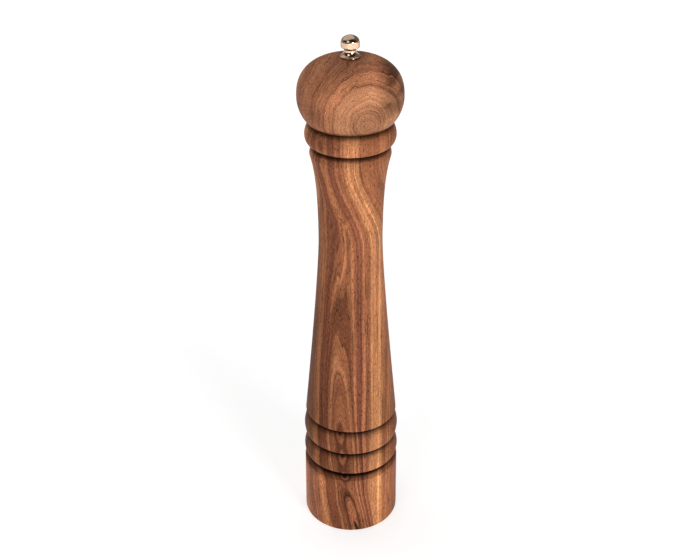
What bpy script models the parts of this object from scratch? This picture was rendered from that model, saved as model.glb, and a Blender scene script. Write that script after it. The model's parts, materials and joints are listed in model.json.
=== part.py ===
"""Pepper mill: a turned wooden mill with a screw-down knob and a steel burr mechanism.

+Z is up, the origin is the middle of the base where the mill stands, and every length is in metres.
All round pieces share the Z axis. Each sub-part is one object, named for what it is.
"""

import bmesh
import bpy
from math import atan2, cos, pi, radians, sin, tau
from mathutils import Matrix, Vector

MM = 0.001
GAP = 0.3 * MM          # clearance between pieces that touch

# ---------------------------------------------------------------- driving dimensions
TOTAL_HEIGHT = 356.0 * MM

# Outline of the body, from the base up
BASE_RADIUS = 33.3 * MM
BASE_CORNER = 1.0 * MM
BODY_HEIGHT = 302.0 * MM
GROOVE_RADIUS = 28.2 * MM
BASE_EDGE = (32.9 * MM, 45.8 * MM)          # (radius, height) of the crisp upper edge of the base
LOWER_BEAD_CROWN = (33.05 * MM, 56.8 * MM)
LOWER_BEAD_LIP = (32.2 * MM, 52.1 * MM)
UPPER_BEAD_CROWN = (32.82 * MM, 75.4 * MM)
UPPER_BEAD_LIP = (31.9 * MM, 69.1 * MM)
NECK_FOOT = (31.6 * MM, 87.8 * MM)
GROOVE_HEIGHTS = (48.8 * MM, 67.2 * MM, 86.6 * MM)
WAIST = (20.7 * MM, 223.4 * MM)             # the narrowest place of the neck
SHOULDER = (25.55 * MM, 281.6 * MM)         # the rim at the top of the neck
COLLAR_RADIUS = 28.45 * MM
COLLAR_HEIGHT = 294.4 * MM                  # height of the collar's widest ring
COLLAR_TOP_ROUND = 5.0 * MM                 # how far in the collar's top rounding starts
COLLAR_UNDER_ROUND = (4.0 * MM, 5.9 * MM)   # (across, up) of the rounding under the collar
COLLAR_GROOVE = (23.6 * MM, 288.3 * MM)
SHOULDER_ROUND = (3.85 * MM, 5.9 * MM)

# Bores of the body
CHAMBER_RADIUS = 13.5 * MM                  # the store for peppercorns
BURR_POCKET_RADIUS = 17.0 * MM
BURR_POCKET_TOP = 26.0 * MM
RECESS_RADIUS = 22.5 * MM                   # open recess under the mechanism
RECESS_DEPTH = 12.0 * MM
BORE_CHAMFER = 0.8 * MM

# Head
HEAD_RADIUS = 32.7 * MM
HEAD_WIDEST = 318.6 * MM
HEAD_TOP = 342.3 * MM                       # flat seat under the knob
HEAD_CROWN_RISE = 24.4 * MM
HEAD_CROWN_POWER = 2.48
HEAD_LOWER_DROP = 26.75 * MM
HEAD_UNDERSIDE = BODY_HEIGHT + 0.4 * MM
HEAD_RIM_RADIUS = 24.1 * MM                 # outer edge of the head's flat underside
HEAD_RIM_CHAMFER = (2.3 * MM, 0.5 * MM)     # (across, up)
KNOB_SEAT_MARGIN = 0.9 * MM                 # flat of the head outside the knob's foot
SPIGOT_RADIUS = 13.15 * MM
SPIGOT_END = 287.0 * MM
PILOT_MOUTH = 1.0 * MM                      # how far the cutters of screw holes stand proud of the wood
HEAD_BORE_RADIUS = 3.9 * MM

# Shaft
SHAFT_SQUARE = 5.0 * MM
SHAFT_END = 7.2 * MM
JOURNAL_RADIUS = 2.25 * MM
JOURNAL_TOP = 20.9 * MM
THREAD_RADIUS = 2.35 * MM
THREAD_START = 338.0 * MM
THREAD_END = 351.0 * MM
SQUARE_HOLE = SHAFT_SQUARE + 0.5 * MM

# Knob
KNOB_BAND_RADIUS = 5.75 * MM
KNOB_BAND = (348.7 * MM, 352.5 * MM)
KNOB_NECK_RADIUS = 3.8 * MM
KNOB_NECK_HEIGHT = 346.8 * MM
KNOB_FOOT_RADIUS = 6.15 * MM
KNOB_FOOT_THICKNESS = 0.9 * MM
KNOB_DOME_POWER = 1.75                      # 2 is an ellipse, less is more like a cone
KNOB_DOME_STEP = 0.25 * MM                  # how far the dome stands in from the band
KNOB_HOLE_TIP = 0.8 * MM                    # room over the shaft's end, and height of the hole's cone

# Burrs, spring and crossbar
BURR_RING_BOTTOM = 10.4 * MM
BURR_RING_BORE_TOP = 9.6 * MM
BURR_RING_BORE_BOTTOM = 13.6 * MM
BURR_TEETH = 24
BURR_CONE_BOTTOM = 12.2 * MM
BURR_CONE_TOP = 27.0 * MM
BURR_WEB_BOTTOM = 20.5 * MM                 # ceiling of the hollow under the burr cone
BURR_HOLLOW_RADIUS = 7.0 * MM
BURR_TOOTH_DEPTH = 0.55 * MM                # teeth of the ring's bore
BURR_RIM_CHAMFER = 0.8 * MM
CONE_TOP_RADIUS = 4.6 * MM
CONE_NOSE = (5.4 * MM, 25.5 * MM)           # (radius, height) of the burr cone's nose
CONE_SHOULDER = (8.2 * MM, 21.7 * MM)
GRINDING_TOP = 18.0 * MM                    # where the fine grinding gap ends
GRINDING_GAP = 0.42 * MM
SCREW_OFFSET = 19.75 * MM                   # crossbar screws, from the axis
EAR_WIDTH = 8.0 * MM
EAR_REACH = 22.1 * MM
EAR_THICKNESS = 1.3 * MM
EAR_INNER_END = 15.5 * MM
CROSSBAR_WIDTH = 9.0 * MM
CROSSBAR_THICKNESS = 1.6 * MM
CROSSBAR_BOTTOM = 8.5 * MM
SPRING_MEAN_RADIUS = 5.3 * MM
SPRING_WIRE_RADIUS = 0.5 * MM
SPRING_TURNS = 5
WASHER_THICKNESS = 0.8 * MM
WASHER_RIM = 0.7 * MM                       # how far the washers stand out past the spring
CAP_HOLE_RADIUS = 4.7 * MM

# Drive plate under the spigot
PLATE_RADIUS = 11.0 * MM
PLATE_THICKNESS = 1.5 * MM
PLATE_SCREW_OFFSET = 7.4 * MM
PLATE_POCKET_TOP = SPIGOT_END + PLATE_THICKNESS + GAP
COUNTERSINK = (1.2 * MM, 2.75 * MM)         # radius above and below

# Wood screws
PLATE_SCREW_TIP = 296.2 * MM
PLATE_SCREW_RADIUS = 0.85 * MM
PLATE_SCREW_HEAD_RADIUS = 2.3 * MM
CROSSBAR_SCREW_TIP = 20.4 * MM
CROSSBAR_SCREW_RADIUS = 1.1 * MM
CROSSBAR_SCREW_HEAD_RADIUS = 2.6 * MM
CROSSBAR_SCREW_HEAD_HEIGHT = 1.7 * MM
PAN_ROUNDING = 0.8 * MM                     # of the crossbar screws' heads
SCREW_TIP_RADIUS = 0.3 * MM
HEAD_CLEARANCE = 0.2 * MM                   # between the crossbar and its screws' heads
SCREW_HOLE_RADIUS = 1.7 * MM                # in the crossbar and in the burr ring's ears
CLEARANCE = 0.25 * MM                       # round a screw in its pilot hole, and round the thread

# Clip groove of the shaft
CLIP_GROOVE = (19.2 * MM, 20.2 * MM)
CLIP_GROOVE_RADIUS = 1.75 * MM
CLIP_RADIUS = 4.3 * MM
CLIP_THICKNESS = 0.7 * MM
CLIP_MOUTH = 2.6 * MM

TURNED_STEPS = 40
SMALL_STEPS = 24

COLOURS = {
    "body_wood": ((0.29, 0.13, 0.06), 0.42, 0.0),
    "head_wood": ((0.27, 0.13, 0.07), 0.42, 0.0),
    "knob_metal": ((0.73, 0.62, 0.48), 0.18, 1.0),
    "bright_steel": ((0.62, 0.61, 0.59), 0.28, 1.0),
    "burr_steel": ((0.33, 0.32, 0.31), 0.42, 1.0),
    "spring_steel": ((0.50, 0.49, 0.47), 0.30, 1.0),
}


# ---------------------------------------------------------------- scene and materials
def clear_scene():
    for obj in list(bpy.data.objects):
        bpy.data.objects.remove(obj, do_unlink=True)


def make_collection(name, hidden=False):
    collection = bpy.data.collections.new(name)
    bpy.context.scene.collection.children.link(collection)
    collection.hide_render = hidden
    return collection


def make_material(name):
    colour, roughness, metallic = COLOURS[name]
    material = bpy.data.materials.new(name)
    material.use_nodes = True
    shader = material.node_tree.nodes["Principled BSDF"]
    shader.inputs["Base Color"].default_value = (*colour, 1.0)
    shader.inputs["Roughness"].default_value = roughness
    shader.inputs["Metallic"].default_value = metallic
    return material


# ---------------------------------------------------------------- outlines, as (radius, height) points
def ellipse_arc(centre, across, up, start, end, count):
    """Points on an upright ellipse, from one angle to another, in degrees above the outward radius."""
    points = []
    for i in range(count + 1):
        angle = radians(start + (end - start) * i / count)
        points.append((centre[0] + across * cos(angle), centre[1] + up * sin(angle)))
    return points


def bezier(p0, p1, p2, p3, count):
    points = []
    for i in range(count + 1):
        t = i / count
        weights = ((1 - t) ** 3, 3 * (1 - t) ** 2 * t, 3 * (1 - t) * t * t, t ** 3)
        radius = sum(w * p[0] for w, p in zip(weights, (p0, p1, p2, p3)))
        height = sum(w * p[1] for w, p in zip(weights, (p0, p1, p2, p3)))
        points.append((radius, height))
    return points


def slope_from_groove(groove, crown):
    """The long upper side of a bead, from the groove above it out and down to its crown."""
    out = crown[0] - groove[0]
    drop = groove[1] - crown[1]
    near_groove = (groove[0] + 0.46 * out, groove[1] - 0.08 * drop)
    near_crown = (crown[0] - 0.04 * out, crown[1] + 0.33 * drop)
    return bezier(groove, near_groove, near_crown, crown, 6)


def turn_to_lip(crown, lip):
    """The short lower side of a bead, from its crown in to the lip over the next groove."""
    drop = crown[1] - lip[1]
    near_crown = (crown[0], crown[1] - 0.5 * drop)
    near_lip = (lip[0] + 0.35 * (crown[0] - lip[0]), lip[1] + 0.12 * drop)
    return bezier(crown, near_crown, near_lip, lip, 4)


def body_outline():
    """Outer side of the body from the top of the collar down to the base."""
    top_centre = (COLLAR_RADIUS - COLLAR_TOP_ROUND, COLLAR_HEIGHT)
    under_centre = (COLLAR_RADIUS - COLLAR_UNDER_ROUND[0], COLLAR_HEIGHT)
    shoulder_centre = (SHOULDER[0] - SHOULDER_ROUND[0], SHOULDER[1])
    outline = ellipse_arc(top_centre, COLLAR_TOP_ROUND, BODY_HEIGHT - COLLAR_HEIGHT, 90, 0, 7)
    outline += ellipse_arc(under_centre, *COLLAR_UNDER_ROUND, -16, -80, 4)
    outline.append(COLLAR_GROOVE)
    outline += ellipse_arc(shoulder_centre, *SHOULDER_ROUND, 74, 12, 4)

    above_waist = (WAIST[0], WAIST[1] + 35.8 * MM)
    under_shoulder = (SHOULDER[0] - 2.76 * MM, SHOULDER[1] - 10.5 * MM)
    outline += bezier(SHOULDER, under_shoulder, above_waist, WAIST, 12)
    below_waist = (WAIST[0], WAIST[1] - 26.0 * MM)
    above_foot = (NECK_FOOT[0] - 0.33 * MM, NECK_FOOT[1] + 3.75 * MM)
    outline += bezier(WAIST, below_waist, above_foot, NECK_FOOT, 11)[1:]

    low, middle, high = GROOVE_HEIGHTS
    outline += slope_from_groove((GROOVE_RADIUS, high), UPPER_BEAD_CROWN)
    outline += turn_to_lip(UPPER_BEAD_CROWN, UPPER_BEAD_LIP)[1:]
    outline += slope_from_groove((GROOVE_RADIUS, middle), LOWER_BEAD_CROWN)
    outline += turn_to_lip(LOWER_BEAD_CROWN, LOWER_BEAD_LIP)[1:]
    outline += [(GROOVE_RADIUS, low), BASE_EDGE]
    corner_centre = (BASE_RADIUS - BASE_CORNER, BASE_CORNER)
    outline += ellipse_arc(corner_centre, BASE_CORNER, BASE_CORNER, 0, -90, 3)
    return outline


def body_bores():
    """Inner side of the body, from the base up to the mouth of the chamber."""
    return [
        (RECESS_RADIUS + BORE_CHAMFER, 0.0),
        (RECESS_RADIUS, BORE_CHAMFER),
        (RECESS_RADIUS, RECESS_DEPTH),
        (BURR_POCKET_RADIUS, RECESS_DEPTH),
        (BURR_POCKET_RADIUS, BURR_POCKET_TOP),
        (CHAMBER_RADIUS, BURR_POCKET_TOP),
        (CHAMBER_RADIUS, BODY_HEIGHT - BORE_CHAMFER),
        (CHAMBER_RADIUS + BORE_CHAMFER, BODY_HEIGHT),
    ]


def head_outline():
    """Outer side of the head: a squashed ball from the seat under the knob down to the spigot's end."""
    outline = [(KNOB_FOOT_RADIUS + KNOB_SEAT_MARGIN, HEAD_TOP)]
    steps = 14
    for i in range(1, steps):
        angle = radians(90 - 90 * (i / steps) ** 0.85)
        radius = HEAD_RADIUS * cos(angle) ** (2 / HEAD_CROWN_POWER)
        height = HEAD_WIDEST + HEAD_CROWN_RISE * sin(angle) ** (2 / HEAD_CROWN_POWER)
        if height < HEAD_TOP - 0.05 * MM:
            outline.append((radius, height))
    outline.append((HEAD_RADIUS, HEAD_WIDEST))
    outline += ellipse_arc((0.0, HEAD_WIDEST), HEAD_RADIUS, HEAD_LOWER_DROP, -5, -33.5, 6)
    chamfer_across, chamfer_up = HEAD_RIM_CHAMFER
    outline.append((HEAD_RIM_RADIUS + chamfer_across, HEAD_UNDERSIDE + chamfer_up))
    outline.append((HEAD_RIM_RADIUS, HEAD_UNDERSIDE))
    outline.append((SPIGOT_RADIUS, HEAD_UNDERSIDE))
    outline.append((SPIGOT_RADIUS, SPIGOT_END + BORE_CHAMFER))
    outline.append((SPIGOT_RADIUS - BORE_CHAMFER, SPIGOT_END))
    return outline


def head_bores():
    """Inner side of the head: the pocket for the drive plate, then the bore for the shaft."""
    pocket_radius = PLATE_RADIUS + GAP
    return [
        (pocket_radius, SPIGOT_END),
        (pocket_radius, PLATE_POCKET_TOP),
        (HEAD_BORE_RADIUS, PLATE_POCKET_TOP),
        (HEAD_BORE_RADIUS, HEAD_TOP),
    ]


def knob_dome(count):
    """The dome from the top of the knob down to the edge of its band."""
    radius = KNOB_BAND_RADIUS - KNOB_DOME_STEP
    rise = TOTAL_HEIGHT - KNOB_BAND[1]
    share = 2 / KNOB_DOME_POWER
    points = [(0.0, TOTAL_HEIGHT)]
    for i in range(1, count):
        angle = radians(90 - 90 * i / count)
        points.append((radius * cos(angle) ** share, KNOB_BAND[1] + rise * sin(angle) ** share))
    return points + [(radius, KNOB_BAND[1])]


def knob_outline():
    """Outer side of the knob: dome, gripping band, waisted neck and flared foot."""
    foot_bottom = HEAD_TOP + GAP
    foot_top = foot_bottom + KNOB_FOOT_THICKNESS
    outline = knob_dome(6)
    outline.append((KNOB_BAND_RADIUS, KNOB_BAND[1] - 0.3 * MM))
    outline.append((KNOB_BAND_RADIUS, KNOB_BAND[0] + 0.4 * MM))
    outline.append((KNOB_BAND_RADIUS - 0.5 * MM, KNOB_BAND[0]))
    outline.append((KNOB_NECK_RADIUS + 0.3 * MM, KNOB_BAND[0] - 0.5 * MM))
    neck_top = (KNOB_NECK_RADIUS, KNOB_NECK_HEIGHT)
    flare_end = (KNOB_FOOT_RADIUS - 0.2 * MM, foot_top)
    steep = (KNOB_NECK_RADIUS, KNOB_NECK_HEIGHT - 1.7 * MM)
    shallow = (KNOB_FOOT_RADIUS - 1.2 * MM, foot_top + 0.2 * MM)
    outline += bezier(neck_top, steep, shallow, flare_end, 6)
    outline.append((KNOB_FOOT_RADIUS, foot_top - 0.2 * MM))
    outline.append((KNOB_FOOT_RADIUS, foot_bottom))
    return outline


def knob_bore():
    """The blind threaded hole in the knob, from its mouth up to its end on the axis."""
    radius = THREAD_RADIUS + CLEARANCE
    end = THREAD_END + KNOB_HOLE_TIP
    return [(radius, HEAD_TOP + GAP), (radius, end), (0.0, end + KNOB_HOLE_TIP)]


def burr_ring_bore_radius(height):
    """Radius of the burr ring's conical bore at a height."""
    top = BURR_POCKET_TOP - GAP
    share = (height - BURR_RING_BOTTOM) / (top - BURR_RING_BOTTOM)
    return BURR_RING_BORE_BOTTOM + share * (BURR_RING_BORE_TOP - BURR_RING_BORE_BOTTOM)


# ---------------------------------------------------------------- making solids
def link(obj, collection, material=None):
    collection.objects.link(obj)
    if material:
        obj.data.materials.append(material)
    return obj


def bake(obj):
    """Applies the object's modifiers and shades its round faces smooth."""
    graph = bpy.context.evaluated_depsgraph_get()
    mesh = bpy.data.meshes.new_from_object(obj.evaluated_get(graph))
    mesh.name = obj.name
    old = obj.data
    obj.modifiers.clear()
    obj.data = mesh
    if old.users == 0:
        (bpy.data.curves if isinstance(old, bpy.types.Curve) else bpy.data.meshes).remove(old)
    mesh.shade_smooth()
    mesh.set_sharp_from_angle(angle=radians(32))


def turned(name, outline, closed, steps, collection, material=None):
    """A solid turned about Z. An open outline starts and ends on the axis, and a closed one runs round."""
    mesh = bpy.data.meshes.new(name)
    vertices = [(radius, 0.0, height) for radius, height in outline]
    edges = [(i, i + 1) for i in range(len(outline) - 1)]
    if closed:
        edges.append((len(outline) - 1, 0))
    mesh.from_pydata(vertices, edges, [])
    obj = link(bpy.data.objects.new(name, mesh), collection, material)
    screw = obj.modifiers.new("turn", "SCREW")
    screw.axis = "Z"
    screw.angle = tau
    screw.steps = steps
    screw.render_steps = steps
    screw.use_merge_vertices = True
    screw.merge_threshold = 1e-6
    bake(obj)
    return obj


def cylinder(name, radius, low, high, collection, material=None, steps=SMALL_STEPS):
    outline = [(0.0, high), (radius, high), (radius, low), (0.0, low)]
    return turned(name, outline, False, steps, collection, material)


def box(name, size, centre, collection, material=None, turn=0.0):
    mesh = bpy.data.meshes.new(name)
    bm = bmesh.new()
    bmesh.ops.create_cube(bm, size=1.0)
    bmesh.ops.scale(bm, vec=Vector(size), verts=bm.verts)
    bmesh.ops.rotate(bm, cent=Vector(), matrix=Matrix.Rotation(turn, 3, "Z"), verts=bm.verts)
    bmesh.ops.translate(bm, vec=Vector(centre), verts=bm.verts)
    bm.to_mesh(mesh)
    bm.free()
    return link(bpy.data.objects.new(name, mesh), collection, material)


def at(obj, x, y):
    """Moves a cutter or a solid sideways, in its mesh."""
    obj.data.transform(Matrix.Translation((x, y, 0.0)))
    return obj


def combine(obj, others, operation):
    """Cuts the other solids from this one, or joins them to it."""
    for other in others:
        modifier = obj.modifiers.new(operation.lower(), "BOOLEAN")
        modifier.solver = "EXACT"
        modifier.operation = operation
        modifier.object = other
    bake(obj)
    for other in others:
        other.display_type = "WIRE"
        other.hide_render = True


# ---------------------------------------------------------------- wooden pieces
def make_body(parts, cutters, materials):
    outline = body_outline() + body_bores()
    body = turned("body", outline, True, TURNED_STEPS, parts, materials["body_wood"])
    radius = CROSSBAR_SCREW_RADIUS + CLEARANCE
    low = RECESS_DEPTH - PILOT_MOUTH
    high = CROSSBAR_SCREW_TIP + 0.6 * MM
    pilots = []
    for number, side in enumerate((1, -1), 1):
        pilot = cylinder(f"pilot_{number}", radius, low, high, cutters, steps=12)
        pilots.append(at(pilot, side * SCREW_OFFSET, 0.0))
    combine(body, pilots, "DIFFERENCE")


def make_head(parts, cutters, materials):
    outline = head_outline() + head_bores()
    head = turned("head", outline, True, TURNED_STEPS, parts, materials["head_wood"])
    radius = PLATE_SCREW_RADIUS + CLEARANCE
    low = PLATE_POCKET_TOP - PILOT_MOUTH
    high = PLATE_SCREW_TIP + 0.8 * MM
    pilots = []
    for number, side in enumerate((1, -1), 1):
        pilot = cylinder(f"plate_pilot_{number}", radius, low, high, cutters, steps=12)
        pilots.append(at(pilot, side * PLATE_SCREW_OFFSET, 0.0))
    combine(head, pilots, "DIFFERENCE")


# ---------------------------------------------------------------- shaft and knob
def make_shaft(parts, cutters, materials):
    """Square bar with a turned journal and clip groove below, and a threaded end above."""
    length = THREAD_START - JOURNAL_TOP
    centre = (0.0, 0.0, JOURNAL_TOP + length / 2)
    size = (SHAFT_SQUARE, SHAFT_SQUARE, length)
    shaft = box("shaft", size, centre, parts, materials["bright_steel"])
    overlap = 2.0 * MM
    groove_low, groove_high = CLIP_GROOVE
    journal = turned("journal", [
        (0.0, JOURNAL_TOP + overlap),
        (JOURNAL_RADIUS, JOURNAL_TOP + overlap),
        (JOURNAL_RADIUS, groove_high),
        (CLIP_GROOVE_RADIUS, groove_high),
        (CLIP_GROOVE_RADIUS, groove_low),
        (JOURNAL_RADIUS, groove_low),
        (JOURNAL_RADIUS, SHAFT_END + 0.4 * MM),
        (JOURNAL_RADIUS - 0.4 * MM, SHAFT_END),
        (0.0, SHAFT_END),
    ], False, SMALL_STEPS, cutters)
    thread = turned("threaded_end", [
        (0.0, THREAD_END),
        (THREAD_RADIUS - 0.6 * MM, THREAD_END),
        (THREAD_RADIUS, THREAD_END - 0.6 * MM),
        (THREAD_RADIUS, THREAD_START - overlap),
        (0.0, THREAD_START - overlap),
    ], False, SMALL_STEPS, cutters)
    combine(shaft, [journal, thread], "UNION")


def make_knob(parts, materials):
    turned("knob", knob_outline() + knob_bore(), False, TURNED_STEPS, parts, materials["knob_metal"])


# ---------------------------------------------------------------- drive plate
def make_drive_plate(parts, cutters, materials):
    """Disc with a square hole that turns the shaft, held by two countersunk screws."""
    top = SPIGOT_END + PLATE_THICKNESS
    plate = cylinder("drive_plate", PLATE_RADIUS, SPIGOT_END, top, parts, materials["bright_steel"], 32)
    cuts = [box("square_hole", (SQUARE_HOLE, SQUARE_HOLE, 6 * MM), (0.0, 0.0, SPIGOT_END), cutters)]
    for number, side in enumerate((1, -1), 1):
        hole = turned(f"countersink_{number}", [
            (0.0, top + 1.0 * MM),
            (COUNTERSINK[0], top + 1.0 * MM),
            (COUNTERSINK[0], top - 0.1 * MM),
            (COUNTERSINK[1], SPIGOT_END - 0.15 * MM),
            (COUNTERSINK[1], SPIGOT_END - 1.0 * MM),
            (0.0, SPIGOT_END - 1.0 * MM),
        ], False, 16, cutters)
        cuts.append(at(hole, side * PLATE_SCREW_OFFSET, 0.0))
    combine(plate, cuts, "DIFFERENCE")


def make_plate_screws(parts, cutters, materials):
    """Countersunk wood screws, heads down, flush with the drive plate."""
    head_low = SPIGOT_END + 0.05 * MM
    for number, side in enumerate((1, -1), 1):
        screw = turned(f"drive_plate_screw_{number}", [
            (0.0, PLATE_SCREW_TIP),
            (SCREW_TIP_RADIUS, PLATE_SCREW_TIP),
            (PLATE_SCREW_RADIUS, PLATE_SCREW_TIP - 2.4 * MM),
            (PLATE_SCREW_RADIUS, head_low + 1.55 * MM),
            (PLATE_SCREW_HEAD_RADIUS, head_low + 0.1 * MM),
            (PLATE_SCREW_HEAD_RADIUS, head_low),
            (0.0, head_low),
        ], False, 16, parts, materials["bright_steel"])
        at(screw, side * PLATE_SCREW_OFFSET, 0.0)
        size = (3.4 * MM, 0.6 * MM, 1.2 * MM)
        centre = (side * PLATE_SCREW_OFFSET, 0.0, head_low)
        slot = box(f"plate_slot_{number}", size, centre, cutters, turn=0.6)
        combine(screw, [slot], "DIFFERENCE")


# ---------------------------------------------------------------- burrs
def make_burr_ring(parts, cutters, materials):
    """Fixed outer burr: a conical toothed bore, and two ears that the crossbar's screws hold."""
    top = BURR_POCKET_TOP - GAP
    outer = BURR_POCKET_RADIUS - GAP
    ring = turned("burr_ring", [
        (BURR_RING_BORE_TOP + BURR_RIM_CHAMFER, top),
        (outer, top),
        (outer, BURR_RING_BOTTOM),
        (BURR_RING_BORE_BOTTOM, BURR_RING_BOTTOM),
        (BURR_RING_BORE_TOP, top - BURR_RIM_CHAMFER),
    ], True, 2 * BURR_TEETH, parts, materials["burr_steel"])
    tooth_burr_bore(ring)
    ears = []
    straight = EAR_REACH - EAR_WIDTH / 2 - EAR_INNER_END
    middle = EAR_INNER_END + straight / 2
    for number, side in enumerate((1, -1), 1):
        centre = (side * middle, 0.0, BURR_RING_BOTTOM + EAR_THICKNESS / 2)
        ears.append(box(f"ear_{number}", (straight, EAR_WIDTH, EAR_THICKNESS), centre, cutters))
        end = cylinder(f"ear_end_{number}", EAR_WIDTH / 2 - 0.01 * MM, BURR_RING_BOTTOM,
                       BURR_RING_BOTTOM + EAR_THICKNESS, cutters)
        ears.append(at(end, side * (EAR_REACH - EAR_WIDTH / 2), 0.0))
    combine(ring, ears, "UNION")
    combine(ring, screw_holes("ear_hole", BURR_RING_BOTTOM, cutters), "DIFFERENCE")


def tooth_burr_bore(ring):
    """Cuts shallow teeth in the ring's bore by pushing every other column of points outward."""
    for vertex in ring.data.vertices:
        radius = Vector(vertex.co[:2]).length
        if radius > BURR_RING_BORE_BOTTOM + 1.0 * MM:
            continue
        column = round(atan2(vertex.co.y, vertex.co.x) / tau * 2 * BURR_TEETH)
        if column % 2:
            stretch = (radius + BURR_TOOTH_DEPTH) / radius
            vertex.co.x *= stretch
            vertex.co.y *= stretch


def burr_cone_tooth(angle, height):
    """How far a point of the burr cone's flank is pulled in: flutes above, fine teeth below."""
    share = (BURR_CONE_TOP - height) / (BURR_CONE_TOP - BURR_CONE_BOTTOM)
    teeth = BURR_TEETH if share > 0.6 else BURR_TEETH / 2
    depth = (0.6 + 0.4 * share) * MM
    return depth * (0.5 - 0.5 * cos(teeth * angle))


def make_burr_cone(parts, cutters, materials):
    """Turning inner burr: a toothed cone with a hollow underneath for the spring."""
    flank_low = (burr_ring_bore_radius(BURR_CONE_BOTTOM) - GRINDING_GAP, BURR_CONE_BOTTOM)
    flank_top = (burr_ring_bore_radius(GRINDING_TOP) - 1.5 * GRINDING_GAP, GRINDING_TOP)
    cone = turned("burr_cone", [
        (0.0, BURR_CONE_TOP),
        (CONE_TOP_RADIUS, BURR_CONE_TOP),
        CONE_NOSE,
        CONE_SHOULDER,
        flank_top,
        (0.5 * (flank_low[0] + flank_top[0]), 0.5 * (flank_low[1] + flank_top[1])),
        flank_low,
        (BURR_HOLLOW_RADIUS, BURR_CONE_BOTTOM),
        (BURR_HOLLOW_RADIUS, BURR_WEB_BOTTOM),
        (0.0, BURR_WEB_BOTTOM),
    ], False, 2 * BURR_TEETH, parts, materials["burr_steel"])
    for vertex in cone.data.vertices:
        radius = Vector(vertex.co[:2]).length
        if radius < BURR_HOLLOW_RADIUS + 0.5 * MM:
            continue
        angle = atan2(vertex.co.y, vertex.co.x)
        shrink = (radius - burr_cone_tooth(angle, vertex.co.z)) / radius
        vertex.co.x *= shrink
        vertex.co.y *= shrink
    size = (SQUARE_HOLE, SQUARE_HOLE, 20 * MM)
    hole = box("cone_square_hole", size, (0.0, 0.0, BURR_CONE_TOP), cutters)
    combine(cone, [hole], "DIFFERENCE")


# ---------------------------------------------------------------- spring, washers and clip
def washer(name, inner, outer, low, thickness, parts, material):
    outline = [(inner, low + thickness), (outer, low + thickness), (outer, low), (inner, low)]
    return turned(name, outline, True, SMALL_STEPS, parts, material)


def make_spring_stack(parts, materials):
    """Seat washer on the crossbar, coil spring, and the ring that passes its push to the burr cone."""
    seat_low = CROSSBAR_BOTTOM + CROSSBAR_THICKNESS + GAP
    outer = SPRING_MEAN_RADIUS + SPRING_WIRE_RADIUS + WASHER_RIM
    washer("spring_seat", JOURNAL_RADIUS + 0.2 * MM, outer, seat_low, WASHER_THICKNESS, parts,
           materials["bright_steel"])
    cap_low = BURR_WEB_BOTTOM - GAP - WASHER_THICKNESS
    washer("spring_cap", CAP_HOLE_RADIUS, outer, cap_low, WASHER_THICKNESS, parts,
           materials["bright_steel"])

    spring_low = seat_low + WASHER_THICKNESS + GAP + SPRING_WIRE_RADIUS
    spring_high = cap_low - GAP - SPRING_WIRE_RADIUS
    make_spring(spring_low, spring_high, parts, materials["spring_steel"])


def make_spring(low, high, parts, material):
    """Compression spring whose end turns lie closed against each other."""
    points_per_turn = 14
    count = SPRING_TURNS * points_per_turn
    end_share = 0.9 / SPRING_TURNS
    end_rise = 2.1 * SPRING_WIRE_RADIUS * 0.9
    curve = bpy.data.curves.new("spring", "CURVE")
    curve.dimensions = "3D"
    curve.bevel_depth = SPRING_WIRE_RADIUS
    curve.bevel_resolution = 2
    curve.use_fill_caps = True
    line = curve.splines.new("POLY")
    line.points.add(count)
    for i in range(count + 1):
        share = i / count
        angle = tau * SPRING_TURNS * share
        if share < end_share:
            height = low + end_rise * share / end_share
        elif share > 1 - end_share:
            height = high - end_rise * (1 - share) / end_share
        else:
            middle = (share - end_share) / (1 - 2 * end_share)
            height = low + end_rise + middle * (high - low - 2 * end_rise)
        x, y = SPRING_MEAN_RADIUS * cos(angle), SPRING_MEAN_RADIUS * sin(angle)
        line.points[i].co = (x, y, height, 1.0)
    link(bpy.data.objects.new("spring", curve), parts, material)


def make_burr_clip(parts, cutters, materials):
    """C-shaped clip in the shaft's groove, which holds the burr cone up on the square."""
    inner = CLIP_GROOVE_RADIUS + CLEARANCE
    low = CLIP_GROOVE[0] + 0.15 * MM
    clip = washer("burr_clip", inner, CLIP_RADIUS, low, CLIP_THICKNESS, parts, materials["spring_steel"])
    mouth = box("clip_mouth", (CLIP_MOUTH, 6.0 * MM, 4.0 * MM), (0.0, -4.0 * MM, low), cutters)
    combine(clip, [mouth], "DIFFERENCE")


# ---------------------------------------------------------------- crossbar and its screws
def screw_holes(name, height, cutters):
    holes = []
    for number, side in enumerate((1, -1), 1):
        low, high = height - 3 * MM, height + 3 * MM
        hole = cylinder(f"{name}_{number}", SCREW_HOLE_RADIUS, low, high, cutters, steps=16)
        holes.append(at(hole, side * SCREW_OFFSET, 0.0))
    return holes


def make_crossbar(parts, cutters, materials):
    """Flat bar with round ends across the recess. It guides the shaft and carries the spring."""
    top = CROSSBAR_BOTTOM + CROSSBAR_THICKNESS
    straight = 2 * (EAR_REACH - CROSSBAR_WIDTH / 2)
    size = (straight, CROSSBAR_WIDTH, CROSSBAR_THICKNESS)
    bar = box("crossbar", size, (0.0, 0.0, (top + CROSSBAR_BOTTOM) / 2), parts, materials["bright_steel"])
    ends = []
    for number, side in enumerate((1, -1), 1):
        end = cylinder(f"bar_end_{number}", CROSSBAR_WIDTH / 2 - 0.01 * MM, CROSSBAR_BOTTOM, top, cutters)
        ends.append(at(end, side * straight / 2, 0.0))
    combine(bar, ends, "UNION")
    holes = screw_holes("bar_hole", CROSSBAR_BOTTOM, cutters)
    holes.append(cylinder("journal_hole", JOURNAL_RADIUS + 0.2 * MM, 5 * MM, 14 * MM, cutters))
    combine(bar, holes, "DIFFERENCE")


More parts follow.
